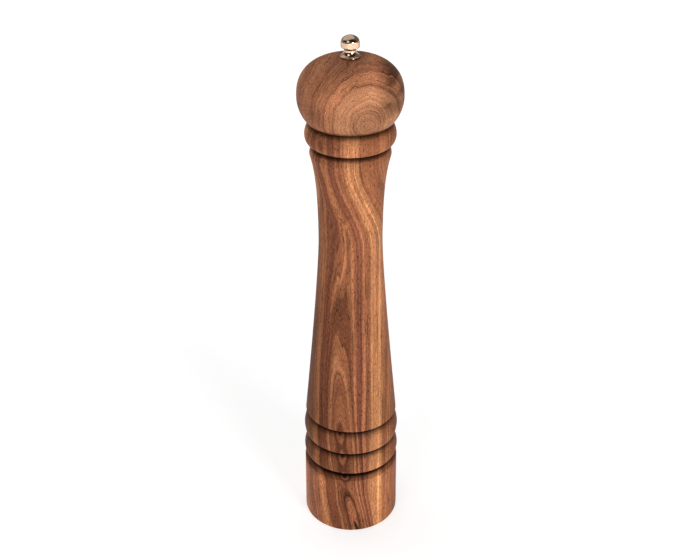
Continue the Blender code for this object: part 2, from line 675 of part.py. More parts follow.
def make_crossbar_screws(parts, cutters, materials):
    """Pan-head wood screws, heads down, through the crossbar and the burr ring's ears into the body."""
    head_top = CROSSBAR_BOTTOM - HEAD_CLEARANCE
    head_low = head_top - CROSSBAR_SCREW_HEAD_HEIGHT
    for number, side in enumerate((1, -1), 1):
        screw = turned(f"crossbar_screw_{number}", [
            (0.0, CROSSBAR_SCREW_TIP),
            (SCREW_TIP_RADIUS, CROSSBAR_SCREW_TIP),
            (CROSSBAR_SCREW_RADIUS, CROSSBAR_SCREW_TIP - 3.0 * MM),
            (CROSSBAR_SCREW_RADIUS, head_top),
            (CROSSBAR_SCREW_HEAD_RADIUS, head_top),
            (CROSSBAR_SCREW_HEAD_RADIUS, head_low + PAN_ROUNDING),
            (CROSSBAR_SCREW_HEAD_RADIUS - PAN_ROUNDING, head_low),
            (0.0, head_low),
        ], False, 16, parts, materials["bright_steel"])
        at(screw, side * SCREW_OFFSET, 0.0)
        centre = (side * SCREW_OFFSET, 0.0, head_low)
        slot = box(f"slot_{number}", (3.0 * MM, 0.7 * MM, 1.8 * MM), centre, cutters, turn=0.4 * number)
        combine(screw, [slot], "DIFFERENCE")


def main():
    clear_scene()
    parts = make_collection("pepper_mill")
    cutters = make_collection("cutters", hidden=True)
    materials = {name: make_material(name) for name in COLOURS}
    make_body(parts, cutters, materials)
    make_head(parts, cutters, materials)
    make_shaft(parts, cutters, materials)
    make_knob(parts, materials)
    make_drive_plate(parts, cutters, materials)
    make_plate_screws(parts, cutters, materials)
    make_burr_ring(parts, cutters, materials)
    make_burr_cone(parts, cutters, materials)
    make_spring_stack(parts, materials)
    make_burr_clip(parts, cutters, materials)
    make_crossbar(parts, cutters, materials)
    make_crossbar_screws(parts, cutters, materials)


main()
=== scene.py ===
import json
from math import cos, radians, sin, tau

import bmesh
import bpy
import numpy as np
from mathutils import Matrix, Vector


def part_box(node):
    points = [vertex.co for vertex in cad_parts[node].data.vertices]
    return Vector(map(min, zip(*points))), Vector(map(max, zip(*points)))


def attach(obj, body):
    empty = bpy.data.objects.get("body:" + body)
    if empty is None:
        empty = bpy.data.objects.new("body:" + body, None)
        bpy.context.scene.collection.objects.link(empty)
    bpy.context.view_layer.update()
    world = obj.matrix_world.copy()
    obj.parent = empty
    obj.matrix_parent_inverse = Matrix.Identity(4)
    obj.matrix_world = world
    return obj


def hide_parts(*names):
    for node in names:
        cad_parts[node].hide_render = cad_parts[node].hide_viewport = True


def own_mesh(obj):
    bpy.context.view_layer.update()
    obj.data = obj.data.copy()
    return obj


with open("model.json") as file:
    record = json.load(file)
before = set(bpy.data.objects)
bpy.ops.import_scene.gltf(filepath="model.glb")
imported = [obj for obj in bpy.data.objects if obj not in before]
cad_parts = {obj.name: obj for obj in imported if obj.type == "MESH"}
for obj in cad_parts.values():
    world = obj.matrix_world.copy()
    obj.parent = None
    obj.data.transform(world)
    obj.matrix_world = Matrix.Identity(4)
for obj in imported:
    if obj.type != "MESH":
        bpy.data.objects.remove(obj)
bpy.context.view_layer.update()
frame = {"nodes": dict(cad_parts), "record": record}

MM = 0.001

# -------- sizes read from the frame
BODY_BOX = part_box("body")
HEAD_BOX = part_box("head")
KNOB_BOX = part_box("knob")
SHAFT_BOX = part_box("shaft")
PLATE_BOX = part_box("drive_plate")
RING_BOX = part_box("burr_ring")
CONE_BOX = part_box("burr_cone")
BAR_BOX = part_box("crossbar")
SPRING_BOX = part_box("spring")
CLIP_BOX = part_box("burr_clip")

BASE_RADIUS = BODY_BOX[1].x
BODY_TOP = BODY_BOX[1].z
HEAD_RADIUS = HEAD_BOX[1].x
HEAD_TOP = HEAD_BOX[1].z
SPIGOT_END = HEAD_BOX[0].z
KNOB_TOP = KNOB_BOX[1].z
KNOB_FOOT = KNOB_BOX[0].z
KNOB_FOOT_RADIUS = KNOB_BOX[1].x

# -------- outline of the wood, as in the CAD
GROOVE_RADIUS = 28.2 * MM
GROOVES = (48.8 * MM, 67.2 * MM, 86.6 * MM)
BASE_EDGE = (32.9 * MM, 45.8 * MM)
LOWER_BEAD = ((33.05 * MM, 56.8 * MM), (32.2 * MM, 52.1 * MM))  # crown, lip
UPPER_BEAD = ((32.82 * MM, 75.4 * MM), (31.9 * MM, 69.1 * MM))
NECK_FOOT = (31.6 * MM, 87.8 * MM)
WAIST = (20.7 * MM, 223.4 * MM)
SHOULDER = (25.55 * MM, 281.6 * MM)
COLLAR = (28.45 * MM, 294.4 * MM)
COLLAR_TOP_ROUND = 5.0 * MM  # how far in the collar's top rounding starts
COLLAR_UNDER_ROUND = (4.0 * MM, 5.9 * MM)  # across, up
COLLAR_GROOVE = (SHOULDER[0] - 1.95 * MM, SHOULDER[1] + 6.7 * MM)
SHOULDER_ROUND = (3.85 * MM, 5.9 * MM)
BASE_CORNER = 1.0 * MM
LIP_EASE = 0.35 * MM  # rounding of the crisp edges over the grooves
CHAMBER_RADIUS = 13.5 * MM
POCKET = (17.0 * MM, 26.0 * MM)  # burr pocket: radius, top
RECESS = (22.5 * MM, 12.0 * MM)  # open recess: radius, depth
HEAD_WIDEST = 318.6 * MM
HEAD_CROWN_RISE = 24.4 * MM
HEAD_CROWN_POWER = 2.48
HEAD_LOWER_DROP = 26.75 * MM
HEAD_UNDERSIDE = BODY_TOP + 0.4 * MM
SPIGOT_RADIUS = 13.15 * MM
HEAD_BORE_RADIUS = 3.9 * MM
PLATE_POCKET = (11.3 * MM, SPIGOT_END + 1.8 * MM)
KNOB_SEAT_MARGIN = 0.9 * MM  # flat of the head outside the knob's foot

# -------- knob, as in the CAD
KNOB_BAND = (KNOB_FOOT + 6.1 * MM, KNOB_FOOT + 9.9 * MM)
KNOB_BAND_RADIUS = 5.75 * MM
KNOB_NECK_RADIUS = 3.8 * MM
KNOB_FOOT_THICKNESS = 0.9 * MM
KNOB_BORE_RADIUS = 2.6 * MM
KNOB_DOME_POWER = 1.75  # 2 is an ellipse, less is more like a cone
KNOB_DOME_STEP = 0.25 * MM  # how far the dome stands in from the band
KNURL_TEETH = 44
KNURL_DEPTH = 0.16 * MM
KNURL_MARGIN = 0.2 * MM  # plain rims above and below the knurling

# -------- mechanism, as in the CAD
JOURNAL_RADIUS = 2.25 * MM
JOURNAL_TOP = 20.9 * MM
CLIP_GROOVE = (19.2 * MM, 20.2 * MM)
CLIP_GROOVE_RADIUS = 1.75 * MM
THREAD_RADIUS = 2.35 * MM
THREAD_LOW = 338.0 * MM
THREAD_PITCH = 0.8 * MM
THREAD_DEPTH = 0.42 * MM
SQUARE_HOLE = SHAFT_BOX[1].x * 2 + 0.5 * MM
COUNTERSINK = (1.2 * MM, 2.75 * MM)  # radius above and below
PLATE_SCREW_OFFSET = 7.4 * MM
SCREW_OFFSET = 19.75 * MM
SCREW_HOLE_RADIUS = 1.7 * MM
SCREW_TIP_RADIUS = 0.3 * MM
PAN_ROUNDING = (1.2 * MM, 1.3 * MM)  # across and up, of the crossbar screws' heads
EAR_WIDTH = 8.0 * MM
EAR_THICKNESS = 1.3 * MM
EAR_INNER_END = 15.5 * MM
BURR_BORE = (13.6 * MM, 9.6 * MM)  # radius of the burr ring's bore, below and above
BURR_RING_RADIUS = 16.7 * MM
BURR_RIM_CHAMFER = 0.8 * MM
BURR_TEETH = 24
BURR_TOOTH_DEPTH = 0.55 * MM  # teeth of the ring's bore
GRINDING_TOP = 18.0 * MM  # where the fine grinding gap ends
GRINDING_GAP = 0.42 * MM
CONE_TOP_RADIUS = 4.6 * MM
CONE_NOSE = (5.4 * MM, 1.5 * MM)  # radius, drop from the top
CONE_SHOULDER = (8.2 * MM, 21.7 * MM)
CONE_TOOTH_DEPTH = (0.6 * MM, 1.0 * MM)  # at the top and at the bottom
BURR_HOLLOW_RADIUS = 7.0 * MM
BURR_WEB_BOTTOM = 20.5 * MM  # ceiling of the hollow under the burr cone
JOURNAL_CLEARANCE = 0.2 * MM
SEAT_HOLE_RADIUS = 2.45 * MM
CAP_HOLE_RADIUS = 4.7 * MM
CLIP_HOLE_RADIUS = 2.0 * MM
CLIP_MOUTH = 2.6 * MM
WASHER_EDGE = 0.18 * MM
UNION_STEP = 0.002 * MM  # keeps a round end's sides clear of the bar that it joins
SPRING_WIRE_RADIUS = 0.5 * MM
SPRING_TURNS = 5
SPRING_CLOSED_TURNS = 0.9  # at each end

WOOD_STEPS = 256
METAL_STEPS = 128
MATERIALS = {}  # by slot, filled by make_materials

# -------- camera
CAMERA_PLACE = (-0.44 * MM, -628.06 * MM, 556.15 * MM)
CAMERA_DOWN = 30.25  # degrees that it looks down
CAMERA_ROLL = -0.12
CAMERA_LENS = 56.57


def levels(box):
    """Lowest and highest height of a box."""
    return box[0].z, box[1].z


# ======== outlines
def ellipse_arc(centre, across, up, start, end, count):
    """Points of an upright ellipse from one angle to another, in degrees above the outward radius."""
    angles = np.radians(np.linspace(start, end, count + 1))
    return [(centre[0] + across * cos(a), centre[1] + up * sin(a)) for a in angles]


def bezier(p0, p1, p2, p3, count):
    points = []
    for t in np.linspace(0.0, 1.0, count + 1):
        w = ((1 - t) ** 3, 3 * (1 - t) ** 2 * t, 3 * (1 - t) * t * t, t ** 3)
        radius = sum(a * p[0] for a, p in zip(w, (p0, p1, p2, p3)))
        height = sum(a * p[1] for a, p in zip(w, (p0, p1, p2, p3)))
        points.append((radius, height))
    return points


def rounded(points, radii, count=5):
    """The outline with the corners named in radii, index to radius, cut back to small arcs."""
    result = []
    total = len(points)
    for i, point in enumerate(points):
        radius = radii.get(i, 0.0)
        if not radius:
            result.append(point)
            continue
        here = Vector(point)
        before = Vector(points[i - 1]) - here
        after = Vector(points[(i + 1) % total]) - here
        reach = min(radius, 0.45 * before.length, 0.45 * after.length)
        start = here + before.normalized() * reach
        end = here + after.normalized() * reach
        for t in np.linspace(0.0, 1.0, count + 1):
            result.append(tuple(start * (1 - t) ** 2 + here * 2 * t * (1 - t) + end * t * t))
    return result


def slope_from_groove(groove, crown):
    """The long upper side of a bead, from the groove above it out and down to its crown."""
    out = crown[0] - groove[0]
    drop = groove[1] - crown[1]
    near_groove = (groove[0] + 0.46 * out, groove[1] - 0.08 * drop)
    near_crown = (crown[0] - 0.04 * out, crown[1] + 0.33 * drop)
    return bezier(groove, near_groove, near_crown, crown, 22)


def turn_to_lip(crown, lip):
    """The short lower side of a bead, from its crown in to the lip over the next groove."""
    drop = crown[1] - lip[1]
    near_crown = (crown[0], crown[1] - 0.5 * drop)
    near_lip = (lip[0] + 0.35 * (crown[0] - lip[0]), lip[1] + 0.12 * drop)
    return bezier(crown, near_crown, near_lip, lip, 14)


def body_outline():
    """The whole section of the body: down its outer side, and up through its bores."""
    top_centre = (COLLAR[0] - COLLAR_TOP_ROUND, COLLAR[1])
    under_centre = (COLLAR[0] - COLLAR_UNDER_ROUND[0], COLLAR[1])
    shoulder_centre = (SHOULDER[0] - SHOULDER_ROUND[0], SHOULDER[1])
    outline = ellipse_arc(top_centre, COLLAR_TOP_ROUND, BODY_TOP - COLLAR[1], 90, 0, 22)
    outline += ellipse_arc(under_centre, *COLLAR_UNDER_ROUND, -4, -80, 18)
    outline.append(COLLAR_GROOVE)
    outline += ellipse_arc(shoulder_centre, *SHOULDER_ROUND, 74, 4, 16)
    above_waist = (WAIST[0], WAIST[1] + 35.8 * MM)
    under_shoulder = (SHOULDER[0] - 2.76 * MM, SHOULDER[1] - 10.5 * MM)
    outline += bezier(SHOULDER, under_shoulder, above_waist, WAIST, 44)
    below_waist = (WAIST[0], WAIST[1] - 26.0 * MM)
    above_foot = (NECK_FOOT[0] - 0.33 * MM, NECK_FOOT[1] + 3.75 * MM)
    outline += bezier(WAIST, below_waist, above_foot, NECK_FOOT, 60)[1:]
    corners = {len(outline) - 1: LIP_EASE}
    for groove, (crown, lip) in zip(GROOVES[:0:-1], (UPPER_BEAD, LOWER_BEAD)):
        outline += slope_from_groove((GROOVE_RADIUS, groove), crown)
        outline += turn_to_lip(crown, lip)[1:]
        corners[len(outline) - 1] = LIP_EASE
    outline += [(GROOVE_RADIUS, GROOVES[0]), BASE_EDGE]
    corners[len(outline) - 1] = LIP_EASE
    corner_centre = (BASE_RADIUS - BASE_CORNER, BASE_CORNER)
    outline += ellipse_arc(corner_centre, BASE_CORNER, BASE_CORNER, 0, -90, 8)
    bores = [
        (RECESS[0], 0.0),
        (RECESS[0], RECESS[1]),
        (POCKET[0], RECESS[1]),
        POCKET,
        (CHAMBER_RADIUS, POCKET[1]),
        (CHAMBER_RADIUS, BODY_TOP),
    ]
    # the recess's mouth and ceiling, the pocket's rim and the chamber's mouth
    first = len(outline)
    corners.update({first: 0.8 * MM, first + 1: 0.4 * MM, first + 2: 0.3 * MM, first + 5: 0.9 * MM})
    return rounded(outline + bores, corners)


def head_outline():
    """The whole section of the head: a squashed ball with a spigot, the plate's pocket and a bore."""
    power = 2 / HEAD_CROWN_POWER
    outline = [(KNOB_FOOT_RADIUS + KNOB_SEAT_MARGIN, HEAD_TOP)]
    for share in np.linspace(0.0, 1.0, 61)[1:]:
        angle = radians(90 - 90 * share ** 0.85)
        height = HEAD_WIDEST + HEAD_CROWN_RISE * sin(angle) ** power
        radius = HEAD_RADIUS * cos(angle) ** power
        if height < HEAD_TOP - 0.02 * MM:
            outline.append((radius, height))
    outline += ellipse_arc((0.0, HEAD_WIDEST), HEAD_RADIUS, HEAD_LOWER_DROP, -1, -33.5, 30)
    outline += [
        (HEAD_RADIUS - 6.3 * MM, HEAD_UNDERSIDE + 0.5 * MM),
        (HEAD_RADIUS - 8.6 * MM, HEAD_UNDERSIDE),
    ]
    first = len(outline)
    outline += [
        (SPIGOT_RADIUS, HEAD_UNDERSIDE),
        (SPIGOT_RADIUS, SPIGOT_END),
        (PLATE_POCKET[0], SPIGOT_END),
        PLATE_POCKET,
        (HEAD_BORE_RADIUS, PLATE_POCKET[1]),
        (HEAD_BORE_RADIUS, HEAD_TOP),
    ]
    # the spigot's root and end, the rim of the plate's pocket and the bore's mouth
    corners = {first: 0.5 * MM, first + 1: 0.9 * MM, first + 2: 0.25 * MM, first + 5: 0.3 * MM}
    return rounded(outline, corners)


# ======== meshes
def new_piece(name, mesh, body, slot, node):
    """Puts a finished mesh in place of a CAD node, on a body and with the material of a slot."""
    piece = bpy.data.objects.new(name, mesh)
    bpy.context.scene.collection.objects.link(piece)
    mesh.materials.append(MATERIALS[slot])
    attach(piece, body)
    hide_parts(node)
    return piece


def mesh_from(bm, name):
    mesh = bpy.data.meshes.new(name)
    bm.to_mesh(mesh)
    bm.free()
    return mesh


def shade(mesh, sharp_degrees=38):
    mesh.shade_smooth()
    mesh.set_sharp_from_angle(angle=radians(sharp_degrees))


def turned_mesh(name, outline, steps, closed=True, shape=None):
    """Turns an outline about Z. shape(radius, angle, height) may change each point's radius."""
    bm = bmesh.new()
    columns = []
    for step in range(steps):
        angle = tau * step / steps
        column = []
        for radius, height in outline:
            if radius < 1e-7:
                column.append(None)
                continue
            r = shape(radius, angle, height) if shape else radius
            column.append(bm.verts.new((r * cos(angle), r * sin(angle), height)))
        columns.append(column)
    poles = {i: bm.verts.new((0.0, 0.0, z)) for i, (r, z) in enumerate(outline) if r < 1e-7}
    count = len(outline)
    rows = range(count if closed else count - 1)
    for step in range(steps):
        here, there = columns[step], columns[(step + 1) % steps]
        for i in rows:
            j = (i + 1) % count
            corners = [here[i] or poles.get(i), there[i] or poles.get(i)]
            corners += [there[j] or poles.get(j), here[j] or poles.get(j)]
            unique = list(dict.fromkeys(corners))
            if len(unique) > 2:
                bm.faces.new(unique)
    bmesh.ops.recalc_face_normals(bm, faces=bm.faces)
    mesh = mesh_from(bm, name)
    shade(mesh)
    return mesh


# ======== working meshes: joins, cuts and bevels
def holder(mesh):
    """A working object, which only carries modifiers and is removed again."""
    obj = bpy.data.objects.new(mesh.name, mesh)
    bpy.context.scene.collection.objects.link(obj)
    return obj


def baked(obj, helpers=()):
    """The mesh with its modifiers applied. The working objects are removed."""
    bpy.context.view_layer.update()
    graph = bpy.context.evaluated_depsgraph_get()
    mesh = bpy.data.meshes.new_from_object(obj.evaluated_get(graph))
    mesh.name = obj.name
    for used in (obj, *helpers):
        bpy.data.objects.remove(used, do_unlink=True)
    return mesh


def combined(mesh, others, operation="DIFFERENCE"):
    obj = holder(mesh)
    helpers = [holder(other) for other in others]
    for helper in helpers:
        modifier = obj.modifiers.new("combine", "BOOLEAN")
        modifier.operation = operation
        modifier.solver = "EXACT"
        modifier.object = helper
    return baked(obj, helpers)


def joined(name, meshes):
    bm = bmesh.new()
    for mesh in meshes:
        bm.from_mesh(mesh)
    result = mesh_from(bm, name)
    shade(result)
    return result


def eased(mesh, width, segments=3, degrees=35):
    """The mesh with its sharp edges rounded over."""
    obj = holder(mesh)
    modifier = obj.modifiers.new("ease", "BEVEL")
    modifier.width = width
    modifier.segments = segments
    modifier.limit_method = "ANGLE"
    modifier.angle_limit = radians(degrees)
    mesh = baked(obj)
    shade(mesh)
    return mesh


def placed(mesh, x=0.0, y=0.0, turn=0.0):
    mesh.transform(Matrix.Translation((x, y, 0.0)) @ Matrix.Rotation(turn, 4, "Z"))
    return mesh


def block(name, size, centre, turn=0.0):
    """A box turned about its own upright axis."""
    bm = bmesh.new()
    bmesh.ops.create_cube(bm, size=1.0)
    bmesh.ops.scale(bm, vec=size, verts=bm.verts)
    bmesh.ops.rotate(bm, matrix=Matrix.Rotation(turn, 3, "Z"), verts=bm.verts)
    bmesh.ops.translate(bm, vec=centre, verts=bm.verts)
    return mesh_from(bm, name)


def disc(name, radius, low, high, steps=64):
    outline = [(0.0, high), (radius, high), (radius, low), (0.0, low)]
    return turned_mesh(name, outline, steps, closed=False)


def divided(start, end, count):
    """Points from start up to, but not with, end, in equal steps."""
    (r0, z0), (r1, z1) = start, end
    return [(r0 + (r1 - r0) * i / count, z0 + (z1 - z0) * i / count) for i in range(count)]


def uprights(radius, low, high, step):
    """Points down one radius, close enough together to carry a thread or teeth."""
    count = max(2, round((high - low) / step))
    return [(radius, height) for height in np.linspace(high, low, count + 1)]


def saw(phase):
    """Height of a saw tooth that rises over four fifths of its length, from 0 to 1."""
    phase = phase % 1.0
    return phase / 0.8 if phase < 0.8 else (1 - phase) / 0.2


def thread(pitch, depth, low, high):
    """Shape of a right-hand thread, cut into a cylinder between two heights."""
    def shape(radius, angle, height):
        if not low <= height <= high:
            return radius
        phase = (height / pitch - angle / tau) % 1.0
        runout = min(1.0, (height - low) / pitch, (high - height) / pitch)
        return radius - depth * runout * abs(2 * phase - 1)
    return shape


# ======== shader graphs
class Graph:
    """Small helpers that add nodes to one material and wire them up."""

    def __init__(self, name):
        self.material = bpy.data.materials.new(name)
        self.material.use_nodes = True
        self.tree = self.material.node_tree
        self.shader = self.tree.nodes["Principled BSDF"]
        self.place = None

    def add(self, kind, **settings):
        node = self.tree.nodes.new(kind)
        for key, value in settings.items():
            setattr(node, key, value)
        return node

    def feed(self, socket, value):
        if isinstance(value, bpy.types.NodeSocket):
            self.tree.links.new(value, socket)
        elif value is not None:
            socket.default_value = value

    def math(self, operation, *values):
        node = self.add("ShaderNodeMath", operation=operation)
        for socket, value in zip(node.inputs, values):
            self.feed(socket, value)
        return node.outputs[0]

    def total(self, *values):
        result = values[0]
        for value in values[1:]:
            result = self.math("ADD", result, value)
        return result

    def times(self, first, second):
        return self.math("MULTIPLY", first, second)

    def minus(self, first, second):
        return self.math("SUBTRACT", first, second)

    def squares(self, first, second):
        """The sum of two squares."""
        return self.total(self.times(first, first), self.times(second, second))

    def length(self, first, second):
        return self.math("SQRT", self.squares(first, second))

    def object_mm(self):
        """Object coordinates in millimetres."""
        if self.place is None:
            coordinates = self.add("ShaderNodeTexCoord").outputs["Object"]
            scaled = self.add("ShaderNodeVectorMath", operation="SCALE")
            self.feed(scaled.inputs[0], coordinates)
            scaled.inputs["Scale"].default_value = 1000.0
            self.place = scaled.outputs[0]
        return self.place

    def axes(self):
        split = self.add("ShaderNodeSeparateXYZ")
        self.feed(split.inputs[0], self.object_mm())
        return split.outputs[0], split.outputs[1], split.outputs[2]

    def point(self, x, y, z):
        joined = self.add("ShaderNodeCombineXYZ")
        for socket, value in zip(joined.inputs, (x, y, z)):
            self.feed(socket, value)
        return joined.outputs[0]

    def stretched(self, vector, scale, offset=(0.0, 0.0, 0.0)):
        node = self.add("ShaderNodeMapping")
        self.feed(node.inputs["Vector"], vector)
        node.inputs["Scale"].default_value = scale
        node.inputs["Location"].default_value = offset
        return node.outputs[0]

    def noise(self, vector, scale=1.0, detail=2.0, roughness=0.5):
        node = self.add("ShaderNodeTexNoise")
        self.feed(node.inputs["Vector"], vector)
        node.inputs["Scale"].default_value = scale
        node.inputs["Detail"].default_value = detail
        node.inputs["Roughness"].default_value = roughness
        return node.outputs["Fac"]

    def spread(self, value, low, high, to_low=0.0, to_high=1.0, smooth=False):
        node = self.add("ShaderNodeMapRange")
        node.interpolation_type = "SMOOTHSTEP" if smooth else "LINEAR"
        node.clamp = True
        for socket, item in zip(node.inputs, (value, low, high, to_low, to_high)):
            self.feed(socket, item)
        return node.outputs[0]

    def curve(self, value, points):
        """A smooth curve through (value, result) points, both in millimetres."""
        lowest, highest = points[0][0], points[-1][0]
        least, most = min(p[1] for p in points), max(p[1] for p in points)
        node = self.add("ShaderNodeFloatCurve")
        line = node.mapping.curves[0]
        while len(line.points) < len(points):
            line.points.new(0.5, 0.5)
        for spot, (at, result) in zip(line.points, points):
            spot.location = ((at - lowest) / (highest - lowest), (result - least) / (most - least))
        node.mapping.update()
        self.feed(node.inputs["Value"], self.spread(value, lowest, highest))
        return self.spread(node.outputs[0], 0.0, 1.0, least, most)

    def ramp(self, value, stops):
        """A colour ramp: stops are (position, colour)."""
        node = self.add("ShaderNodeValToRGB")
        ramp = node.color_ramp
        while len(ramp.elements) < len(stops):
            ramp.elements.new(0.5)
        for element, (position, colour) in zip(ramp.elements, stops):
            element.position = position
            element.color = (*colour, 1.0)
        self.feed(node.inputs[0], value)
        return node.outputs[0]

    def mix(self, share, first, second, blend="MIX"):
        node = self.add("ShaderNodeMix", data_type="RGBA", blend_type=blend)
        self.feed(node.inputs["Factor"], share)
        for socket, value in zip((node.inputs[6], node.inputs[7]), (first, second)):
            if isinstance(value, tuple):
                value = (*value, 1.0)
            self.feed(socket, value)
        return node.outputs[2]

    def shaded(self, colour, factor):
        """A colour times one factor."""
        node = self.add("ShaderNodeCombineColor")
        for socket in node.inputs[:3]:
            self.feed(socket, factor)
        return self.mix(1.0, colour, node.outputs[0], blend="MULTIPLY")

    def bump(self, height, distance, strength):
        node = self.add("ShaderNodeBump")
        node.inputs["Strength"].default_value = strength
        node.inputs["Distance"].default_value = distance
        self.feed(node.inputs["Height"], height)
        return node.outputs[0]

    def finish(self, colour=None, roughness=None, normal=None, **constants):
        self.feed(self.shader.inputs["Base Color"], colour)
        self.feed(self.shader.inputs["Roughness"], roughness)
        self.feed(self.shader.inputs["Normal"], normal)
        for key, value in constants.items():
            self.shader.inputs[key.replace("_", " ")].default_value = value
        return self.material


# ======== wood
def wood_surface(graph, ring, base, along, depth_axis, lines=1.0):
    """Adds growth lines, fibres, pores and their bump to a base colour.

    ring is the growth coordinate and along the distance along the grain, both in millimetres,
    depth_axis is the axis of the grain, and lines is the strength of the growth lines.
    """
    place = graph.object_mm()
    flow = graph.times(along, 0.006)

    def along_grain(across, lengthwise, offset=(0.0, 0.0, 0.0)):
        scale = [across, across, across]
        scale[depth_axis] = lengthwise
        return graph.stretched(place, scale, offset)

    # growth lines: soft ones 2 mm apart, fine ones between them, and a few thin dark ones
    soft = graph.noise(graph.point(ring, 0.0, flow), scale=0.62, detail=2.0, roughness=0.6)
    fine = graph.noise(graph.point(ring, 3.7, flow), scale=1.9, detail=2.0)
    thin = graph.noise(graph.point(ring, 8.1, flow), scale=0.75, detail=1.0)
    edge = graph.math("ABSOLUTE", graph.minus(thin, 0.5))
    edge_mask = graph.spread(edge, 0.0, 0.045, 1.0, 0.0, smooth=True)
    fade = graph.noise(along_grain(0.10, 0.035, (9.0, 2.0, 4.0)), detail=1.0)
    edge_mask = graph.times(edge_mask, graph.spread(fade, 0.42, 0.58))
    soft_tone = graph.spread(soft, 0.32, 0.68, 1.0 - 0.30 * lines, 1.0 + 0.30 * lines)
    fine_tone = graph.spread(fine, 0.3, 0.7, 1.0 - 0.25 * lines, 1.0 + 0.25 * lines)
    tone = graph.times(soft_tone, fine_tone)
    tone = graph.times(tone, graph.spread(edge_mask, 0.0, 1.0, 1.0, 1.0 - 0.55 * lines))

    # clouds, mottled fibres, open pores and bright flecks, all drawn out along the grain
    clouds = graph.noise(along_grain(0.05, 0.014), detail=3.0)
    tone = graph.times(tone, graph.spread(clouds, 0.3, 0.7, 0.82, 1.18))
    fibre = graph.noise(along_grain(1.5, 0.30), detail=4.0, roughness=0.75)
    tone = graph.times(tone, graph.spread(fibre, 0.25, 0.75, 0.56, 1.44))
    pores = graph.noise(along_grain(2.1, 0.50, (4.0, 7.0, 1.0)), detail=1.0, roughness=0.4)
    pore_mask = graph.spread(pores, 0.57, 0.68, 0.0, 1.0, smooth=True)
    tone = graph.times(tone, graph.spread(pore_mask, 0.0, 1.0, 1.0, 0.46))
    flecks = graph.noise(along_grain(1.7, 0.6, (1.0, 2.0, 6.0)), detail=1.0, roughness=0.4)
    fleck_mask = graph.spread(flecks, 0.60, 0.72, 0.0, 1.0, smooth=True)
    tone = graph.times(tone, graph.spread(fleck_mask, 0.0, 1.0, 1.0, 1.35))

    colour = graph.shaded(base, tone)
    roughness = graph.spread(fibre, 0.3, 0.7, 0.42, 0.56)
    height = graph.minus(graph.times(fibre, 0.3), pore_mask)
    height = graph.total(height, graph.times(soft, 0.3))
    normal = graph.bump(height, 0.15 * MM, 0.6)
    return colour, roughness, normal


def noisy_ring(graph, distance, amounts, lengthwise, depth_axis):
    """Wanders a growth coordinate by three scales of noise."""
    place = graph.object_mm()
    parts = [distance]
    for number, (across, amount) in enumerate(zip((0.035, 0.12, 0.40), amounts)):
        scale = [across, across, across]
        scale[depth_axis] = across * lengthwise
        offset = (3.0 + 4.0 * number, 1.0 + 2.0 * number, 5.0 - number)
        drift = graph.noise(graph.stretched(place, scale, offset), detail=2.0)
        parts.append(graph.spread(drift, 0.0, 1.0, -amount, amount))
    return graph.total(*parts)


# Growth rings of the body run round a heart line that lies along its front, at (height, x) and
# (height, distance from the mill's axis). The line breaks the surface low on the base.
HEART_X = (
    (0, 3.6), (16, 0.8), (25, -1.2), (36, -3.2), (57, -5.3), (75, -6.5),
    (95, -9.0), (120, -10.8), (155, -12.0), (200, -12.6), (360, -12.6),
)
HEART_OUT = (
    (0, 29.3), (12, 29.2), (25, 29.5), (34, 30.8), (43, 31.4), (51, 28.6),
    (60, 28.6), (100, 28.6), (155, 27.7), (200, 26.8), (360, 26.8),
)
NECK_HEART_STEP = 5.8  # above the top groove the line lies this much further out,
BASE_HEART_STEP = 6.0  # and this much under the lowest groove
CENTRE_BANDS = (
    (0.0, (0.06, 0.022, 0.014)),
    (0.9, (0.09, 0.032, 0.019)),
    (1.5, (0.24, 0.090, 0.046)),
    (2.8, (0.28, 0.110, 0.055)),
    (3.4, (0.15, 0.052, 0.028)),
    (4.4, (0.14, 0.048, 0.027)),
    (5.4, (0.29, 0.115, 0.058)),
    (8.0, (0.25, 0.092, 0.047)),
    (9.0, (0.37, 0.160, 0.080)),
    (10.2, (0.34, 0.140, 0.070)),
    (11.2, (0.19, 0.068, 0.036)),
    (12.4, (0.22, 0.080, 0.042)),
)
LEFT_BANDS = (
    (13.0, (0.17, 0.060, 0.032)),
    (16.0, (0.16, 0.056, 0.030)),
    (18.0, (0.24, 0.092, 0.046)),
    (20.0, (0.36, 0.155, 0.076)),
    (23.0, (0.34, 0.145, 0.070)),
    (25.5, (0.24, 0.095, 0.050)),
    (31.0, (0.20, 0.080, 0.048)),
    (36.0, (0.24, 0.095, 0.052)),
    (42.0, (0.35, 0.145, 0.072)),
    (49.0, (0.22, 0.080, 0.042)),
    (58.0, (0.34, 0.145, 0.070)),
    (68.0, (0.20, 0.072, 0.038)),
)
RIGHT_BANDS = (
    (13.0, (0.38, 0.160, 0.078)),
    (14.6, (0.20, 0.070, 0.042)),
    (17.6, (0.18, 0.062, 0.040)),
    (19.0, (0.34, 0.140, 0.070)),
    (20.2, (0.33, 0.135, 0.068)),
    (21.2, (0.19, 0.066, 0.038)),
    (22.4, (0.30, 0.120, 0.060)),
    (24.6, (0.54, 0.250, 0.120)),
    (27.5, (0.48, 0.215, 0.104)),
    (31.0, (0.57, 0.270, 0.126)),
    (34.0, (0.30, 0.120, 0.058)),
    (38.0, (0.33, 0.135, 0.064)),
    (43.0, (0.21, 0.076, 0.040)),
    (48.0, (0.38, 0.160, 0.078)),
    (55.0, (0.24, 0.088, 0.045)),
    (64.0, (0.36, 0.150, 0.074)),
)
PLAIN_WOOD = (0.30, 0.120, 0.062)
BAND_SPAN = 75.0
OILED = (0.81, 0.735, 0.65)  # how much the oil darkens the red, green and blue of the raw wood
WOOD_GLOSS = 0.03


def oiled(colour):
    return tuple(c * o for c, o in zip(colour, OILED))


